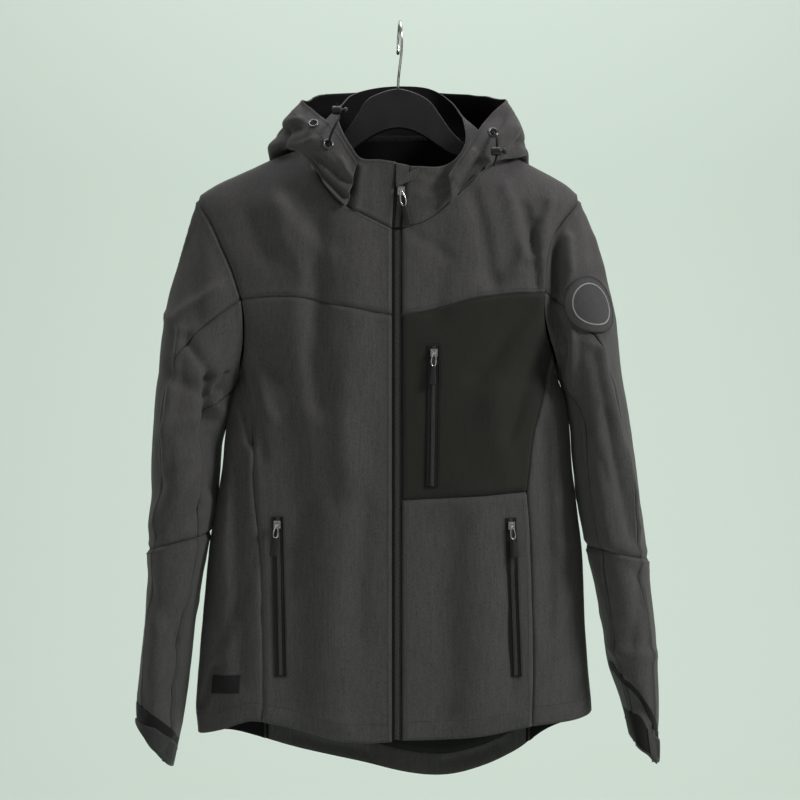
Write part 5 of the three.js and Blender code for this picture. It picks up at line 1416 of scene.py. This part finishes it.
def coil(name, line, normals, pitch, reach, height):
    """Two rows of blocks that alternate across a line, one block for each turn of the coil."""
    along = lengths(line)
    at = np.arange(pitch, along[-1] - pitch, pitch / 2)
    spot = between(line, along, at)
    up = unit(between(normals, along, at))
    down = unit(between(np.gradient(line, axis=0), along, at))
    side = unit(np.cross(up, down)) * np.where(np.arange(len(at)) % 2 == 0, 1, -1)[:, None]
    slope = 0.16 * pitch
    middle = (reach - 0.5) / 2
    corners = []
    for high, shrink in ((0, 1.0), (0.7, 0.92), (1.0, 0.55)):
        for out, along_by in ((-0.5, -1), (reach, -1), (reach, 1), (-0.5, 1)):
            tip = 0.62 if out < 0 else 1.0
            offset = middle + (out - middle) * (shrink * 0.5 + 0.5)
            ahead = along_by * 0.30 * pitch * shrink * tip + slope * np.sign(out)
            corners.append(spot + side * offset + up * (height * high) + down * ahead)
    points = np.stack(corners, 1).reshape(-1, 3)
    block = [(k, (k + 1) % 4, (k + 1) % 4 + 4, k + 4) for k in range(4)]
    block += [(k + 4, (k + 1) % 4 + 4, (k + 1) % 4 + 8, k + 8) for k in range(4)]
    block += [(8, 9, 10, 11), (3, 2, 1, 0)]
    faces = np.array(block)[None] + 12 * np.arange(len(at))[:, None, None]
    made = link(name, points, faces.reshape(-1, 4), smooth_shading=False)
    return finish_piece(made, COIL)


# %% The front zip and the collar's zip
FRONT_ZIP = {"start": (-1.05, -230.6), "end": (-1.05, -832), "width": 12.6, "sunk": 1.4}
COLLAR_ZIP = {"start": (4.7, -64.7, -160), "end": (-0.9, -65.2, -230.2), "width": 11.8, "points": 60}
WIDE_TAPE, WIDE_COIL = 0.8, {"pitch": 1.5, "reach": 2.7, "height": 1.1}
main_line, main_out = front_line(FRONT_ZIP["start"], FRONT_ZIP["end"], 300)
main_line = main_line - main_out * FRONT_ZIP["sunk"]
share = np.linspace(0, 1, COLLAR_ZIP["points"])[:, None]
collar_line = np.array([COLLAR_ZIP["start"]]) * (1 - share) + np.array([COLLAR_ZIP["end"]]) * share
collar_out = np.tile((0.0, -1.0, 0.0), (COLLAR_ZIP["points"], 1))
for name, line, out, width in (("main", main_line, main_out, FRONT_ZIP["width"]),
                               ("collar", collar_line, collar_out, COLLAR_ZIP["width"])):
    zip_tape("zip_" + name, line, out, width, 0, WIDE_TAPE, [name + "_zip"])
    coil("coil_" + name, line + out * WIDE_TAPE, out, **WIDE_COIL)
    print(name, "zip:", round(lengths(line)[-1]), "mm")

# %% Pocket zips, with a stitched frame and bars
SLIM_COIL = {"pitch": 1.3, "reach": 2.2, "height": 1.0}
FRAME_GAP, BAR_PITCH = 1.4, 2.4
POCKETS = {  # upper end, lower end, width of the tape
    "right": ((-142, -569), (-138.3, -757.6), 13), "left": ((132.4, -570), (139.4, -757.6), 13),
    "chest": ((42.3, -366.9), (40, -533.5), 14),
}
for name, (start, end, width) in POCKETS.items():
    thread = "dark" if name == "chest" else "thread"
    line, out = front_line(start, end, 120)
    zip_tape("zip_" + name, line, out, width, 0.3, 0.9, [name + "_pocket_zip"], welt=0.7)
    coil("coil_" + name, line + out * 1.1, out, **SLIM_COIL)
    for offset in (-width / 2 - FRAME_GAP, width / 2 + FRAME_GAP):
        upper, lower = (start[0] + offset, start[1] + 2), (end[0] + offset, end[1] - 2)
        stitch_line(*front_line(upper, lower, 120), thread)
    for end_x, end_z in ((start[0], start[1] + 2.2), (end[0], end[1] - 2.2)):
        ends = (end_x - width / 2 - 1, end_z), (end_x + width / 2 + 1, end_z)
        stitch_line(*front_line(*ends, 12), thread, pitch=BAR_PITCH)


# %% [markdown]
# ## Sliders and pulls
# Each slider is a small plated casting with a bridge. A wire loop, wider at its foot, swings on
# the bridge and carries a moulded grip. The loop and the grip ride on the pull's own body, so
# they turn about the hinge.

# %% Pulls
LARGE_PULL = {"wide": 9.0, "loop": 19.0, "top": 5.0, "foot": 9.0, "tab": 24.0}
SMALL_PULL = {"wide": 8.0, "loop": 17.0, "top": 5.0, "foot": 9.0, "tab": 22.0}
PULLS = {"main": LARGE_PULL, "right": SMALL_PULL, "left": SMALL_PULL, "chest": SMALL_PULL}
LOOP_WIRE, LOOP_NECK, LOOP_POINTS, WIRE_SIDES = 0.75, 1.7, 72, 12
GRIP = {"half_thick": 1.15, "groove": 0.22, "grooves": 9, "overlap": 1.6}
hinges = {joint["child"]: joint for joint in frame["joints"]}


def hinge_frame(name):
    """Centre and axes of a pull's hinge: across, into the cloth and up along the pull."""
    joint = hinges[name + "_pull"]
    across = -np.array(joint["axis"], float)
    inwards = unit(np.array([-across[1], across[0], 0.0]))
    return np.array(joint["pos_m"]) / MM, across, inwards, np.cross(across, inwards)


def pull_loop(name, wide, loop):
    """Wire loop: it goes out by the sine and down by the cosine of a full turn, and is narrow
    where it passes under the bridge."""
    centre, across, inwards, up = hinge_frame(name)
    bend = np.linspace(0, 2 * np.pi, LOOP_POINTS + 1)
    down = (1 - np.cos(bend)) / 2
    half = LOOP_NECK + (wide / 2 - LOOP_WIRE - LOOP_NECK) * np.clip(down * 1.25, 0, 1) ** 1.3
    path = (centre + across * (np.sin(bend) * half)[:, None]
            - up * (down * (loop - 0.7) - 0.2)[:, None])
    side, other = np.broadcast_to(inwards, path.shape), np.cross(unit(np.gradient(path, axis=0)), inwards)
    turn = np.linspace(0, 2 * np.pi, WIRE_SIDES, endpoint=False)[:, None]
    ring = side[:-1, None] * np.cos(turn) + other[:-1, None] * np.sin(turn)
    tube = path[:-1, None] + LOOP_WIRE * ring
    made = link("loop_" + name, tube.reshape(-1, 3), grid_faces(LOOP_POINTS, WIRE_SIDES, True, True))
    finish_piece(made, NICKEL, name + "_pull", [name + "_pull_loop"])


def pull_grip(name, loop, top, foot, tab):
    """Moulded grip below the loop: a cushion across, thinner at both ends, with sine grooves."""
    centre, across, inwards, up = hinge_frame(name)
    v = np.linspace(0, 1, 41)[:, None]
    u = np.linspace(-1, 1, 17)[None]
    width = (top + (foot - top) * v) / 2
    near_end = np.clip((np.abs(v - 0.5) - 0.44) / 0.06, 0, 1)
    round_end = np.sqrt(np.clip(1 - near_end**2, 0, 1))
    grooved = np.clip((0.8 - v) / 0.1, 0, 1) * np.clip((v - 0.15) / 0.1, 0, 1)
    groove = GRIP["groove"] * np.sin(v * 2 * np.pi * GRIP["grooves"]) * grooved
    cushion = GRIP["half_thick"] * np.sqrt(np.clip(1 - np.abs(u) ** 3, 0, 1))
    thick = ((cushion + groove * (1 - u**4)) * (0.25 + 0.75 * round_end))[..., None]
    x = (u * width * (0.75 + 0.25 * round_end))[..., None]
    drop = ((loop - GRIP["overlap"]) + tab * v)[..., None] * np.ones_like(x)
    flat = centre + across * x - up * drop
    laid("grip_" + name, flat + inwards * thick, flat - inwards * thick, TAB_PLASTIC,
         [name + "_pull_tab"], body=name + "_pull")


def smooth_slider(name):
    """The casting's own solid in nickel: its corners are joined and its edges eased."""
    slider = frame["nodes"][name + "_slider"]
    slider.data.materials.clear()
    slider.data.materials.append(NICKEL)
    slider.modifiers.new("weld", "WELD").merge_threshold = 0.01 * MM
    ease = slider.modifiers.new("ease", "BEVEL")
    ease.width, ease.segments, ease.limit_method = 0.3 * MM, 2, "ANGLE"


for name, sizes in PULLS.items():
    pull_loop(name, sizes["wide"], sizes["loop"])
    pull_grip(name, sizes["loop"], sizes["top"], sizes["foot"], sizes["tab"])
    smooth_slider(name)
print("pulls:", list(PULLS))


# %% Garage: the folded flap over the slider's parking place
def flap(name, corners, nodes):
    """Folded patch through its corners, in the order upper left, upper right, lower left, lower
    right: straight between them, with a quarter-circle rim and a faint wave."""
    u = np.linspace(0, 1, 41)[None]
    v = np.linspace(0, 1, 21)[:, None]
    a, b, c, d = np.array(corners, float)
    upper = a * (1 - u[..., None]) + b * u[..., None]
    lower = c * (1 - u[..., None]) + d * u[..., None]
    flat = upper * (1 - v[..., None]) + lower * v[..., None]
    edge = np.clip(np.minimum(np.minimum(u, 1 - u) * 3, np.minimum(v, 1 - v)) / 0.18, 0, 1)
    rise = 0.2 + 0.9 * quarter(edge) + 0.3 * np.sin(u * 5 + v * 2)
    laid(name, flat, flat + np.array((0, -1, 0)) * rise[..., None], SHELL, nodes)


UPPER_FLAP = [(-2.2, -66.6, -153), (13, -66.6, -155.8), (-2.6, -66.6, -175), (12, -66.6, -168)]
LOWER_FLAP = [(-3, -67.4, -172), (27, -67.4, -158), (-2.4, -67.4, -181.5), (19, -67.4, -173)]
flap("garage_top", UPPER_FLAP, [])
flap("garage", LOWER_FLAP, ["zip_garage"])

# %% All stitches, one mesh for each colour of thread
build_stitches("stitches_shell", stitch_runs["thread"], THREAD)
build_stitches("stitches_chest", stitch_runs["dark"], DARK_THREAD)

# %% [markdown]
# ## Hanger and hook
# The hanger is one moulded piece of black plastic: two arms, a dome at the neck and a notch
# below it. Its outline is drawn once and its rounded section follows by moving the outline
# inwards. The hook is a plated wire, bent round the rail.

# %% Hanger
HANGER = {"half": 6, "round": 1.8, "under": 3, "drop": 21, "neck": 110, "from": -216, "to": 197,
          "slant": 4, "points": 220, "rings": 13}
HANGER_DOME = [(-92, -131), (-66, -112), (-49, -89), (-37.5, -71.5), (-21.6, -63), (0, -58), (22, -63.5),
               (38, -73), (51, -90), (68, -113), (95, -133)]
HANGER_NOTCH = [(62, -136), (49, -127.8), (22, -111), (0.7, -106), (-21, -111), (-48, -127), (-60, -136)]


def arm(start, end, lower, count=7):
    """Points of a line at a distance below the shoulder."""
    x = np.linspace(start, end, count)
    return [(a, b) for a, b in zip(x, shoulder_height(x) - lower)]


def hanger_outline():
    """Closed outline: the top line over the dome, and the bottom line over the notch."""
    low = HANGER["under"] + HANGER["drop"]
    top = arm(HANGER["from"], -HANGER["neck"], HANGER["under"]) + HANGER_DOME
    top += arm(HANGER["neck"], HANGER["to"], HANGER["under"])
    bottom = arm(HANGER["to"] - HANGER["slant"], HANGER["neck"], low) + HANGER_NOTCH
    bottom += arm(-HANGER["neck"], HANGER["from"] + HANGER["slant"], low)
    return np.concatenate([drawn(line, HANGER["points"]) for line in (top, bottom)])


def hanger():
    """Body with rounded edges: the outline goes inwards by one less the cosine of an angle while
    its depth follows the sine, and two flat faces close it."""
    line = hanger_outline()
    ahead = unit(np.roll(line, -2, axis=0) - np.roll(line, 2, axis=0))
    inwards = np.stack([ahead[:, 1], -ahead[:, 0]], 1)
    rings = []
    for bend in np.linspace(-np.pi / 2, np.pi / 2, HANGER["rings"]):
        moved = line + inwards * HANGER["round"] * (1 - math.cos(bend)) * 0.8
        depth = (HANGER["half"] - 1) * math.sin(bend) + math.copysign(1, bend) * (abs(bend) > 0.01)
        rings.append(np.stack([moved[:, 0], np.full(len(line), depth), moved[:, 1]], 1))
    count = len(line)
    points = np.concatenate(rings)
    faces = grid_faces(HANGER["rings"], count, round_columns=True).tolist()
    faces += [list(range(count)), list(range(len(points) - count, len(points)))[::-1]]
    mesh = bpy.data.meshes.new("hanger_body")
    mesh.from_pydata((points * MM).tolist(), [], faces)
    smooth_faces = np.ones(len(mesh.polygons), bool)
    smooth_faces[-2:] = False
    mesh.polygons.foreach_set("use_smooth", smooth_faces)
    made = bpy.data.objects.new("hanger_body", mesh)
    bpy.context.scene.collection.objects.link(made)
    return finish_piece(made, HANGER_PLASTIC, nodes=["hanger"])


hanger()

# %% Hook
RAIL, WIRE, RAIL_GAP = 21.1, 1.6, 0.3
SHANK = [(0, 0, -57.4), (0.4, -4, -48), (2, -13, -34), (4, -20.5, -18)]
HOOK_END, HOOK_LEAN, HOOK_TURN = (0, 21, -13), 4.4, math.pi * 1.02
HOOK_TIP = [(0.01, 1.2), (1.2, 1.1), (1.9, 0.2), (2.0, -3), (1.5, -3.4), (0.01, -3.4)]
reach = RAIL + WIRE + RAIL_GAP
over = [(HOOK_LEAN * k, reach * math.cos(HOOK_TURN * k), reach * math.sin(HOOK_TURN * k))
        for k in 1 - np.arange(8) / 7]
hook_path = drawn([*SHANK, *over, HOOK_END], 160)
finish_piece(tube_mesh("hook_wire", hook_path, WIRE, 20), NICKEL, nodes=["hook"])
turned("hook_tip", HOOK_TIP, hook_path[-1], hook_path[-1] - hook_path[-4], PLASTIC, [])
print("hook wire:", round(lengths(hook_path)[-1]), "mm")

# %% [markdown]
# ## Studio
# A plain pale sweep stands in for floor and background. One soft light from the viewer's upper
# right, a wider and weaker one from the left, a third that washes the wall and an even pale
# surround give the folds their soft shading.


# %% Floor, lights and surround
WALL_COLOUR = (0.615, 0.695, 0.632, 1)
SURROUND_COLOUR, SURROUND_STRENGTH = (0.92, 0.92, 0.90, 1), 0.22


def sweep():
    """Pale floor that curves up behind: a section of floor, quarter circle and wall."""
    bend = np.linspace(0, np.pi / 2, 24)
    section = [(-3500, -1300), *[(2500 + 1500 * math.sin(b), 200 - 1500 * math.cos(b)) for b in bend],
               (4000, 4500)]
    x = np.linspace(-6000, 6000, 3)
    points = np.array([[(a, y, z) for a in x] for y, z in section])
    made = link("floor", points.reshape(-1, 3), grid_faces(len(section), 3))
    material, _, shader, _ = new_material("pale_floor")
    shader.inputs["Base Color"].default_value = WALL_COLOUR
    shader.inputs["Roughness"].default_value = 0.9
    shader.inputs["Specular IOR Level"].default_value = 0.1
    made.data.materials.append(material)


def area_light(name, place, aim, size, power):
    """Soft square light that faces a point: its turns are the angles of the line to that point."""
    lamp = bpy.data.lights.new(name, "AREA")
    lamp.shape, lamp.size, lamp.energy = "SQUARE", size, power
    made = bpy.data.objects.new(name, lamp)
    bpy.context.scene.collection.objects.link(made)
    made.location = place
    towards = np.array(aim, float) - np.array(place, float)
    level = math.hypot(towards[0], towards[1])
    made.rotation_euler = (math.atan2(level, -towards[2]), 0, math.atan2(-towards[0], towards[1]))


sweep()
area_light("key", (2.5, -1.3, 1.3), (0, 0, -0.45), 0.8, 74)
area_light("fill", (-2.2, -2.0, 0.2), (0, 0, -0.5), 1.6, 9)
area_light("wall_wash", (0, 1.0, 2.6), (0, 3.6, -0.6), 3.0, 120)
world = bpy.data.worlds.new("surround")
bpy.context.scene.world = world
world.use_nodes = True
background = next(n for n in world.node_tree.nodes if n.type == "BACKGROUND")
background.inputs["Color"].default_value = SURROUND_COLOUR
background.inputs["Strength"].default_value = SURROUND_STRENGTH
bpy.context.scene.view_settings.view_transform = "Standard"
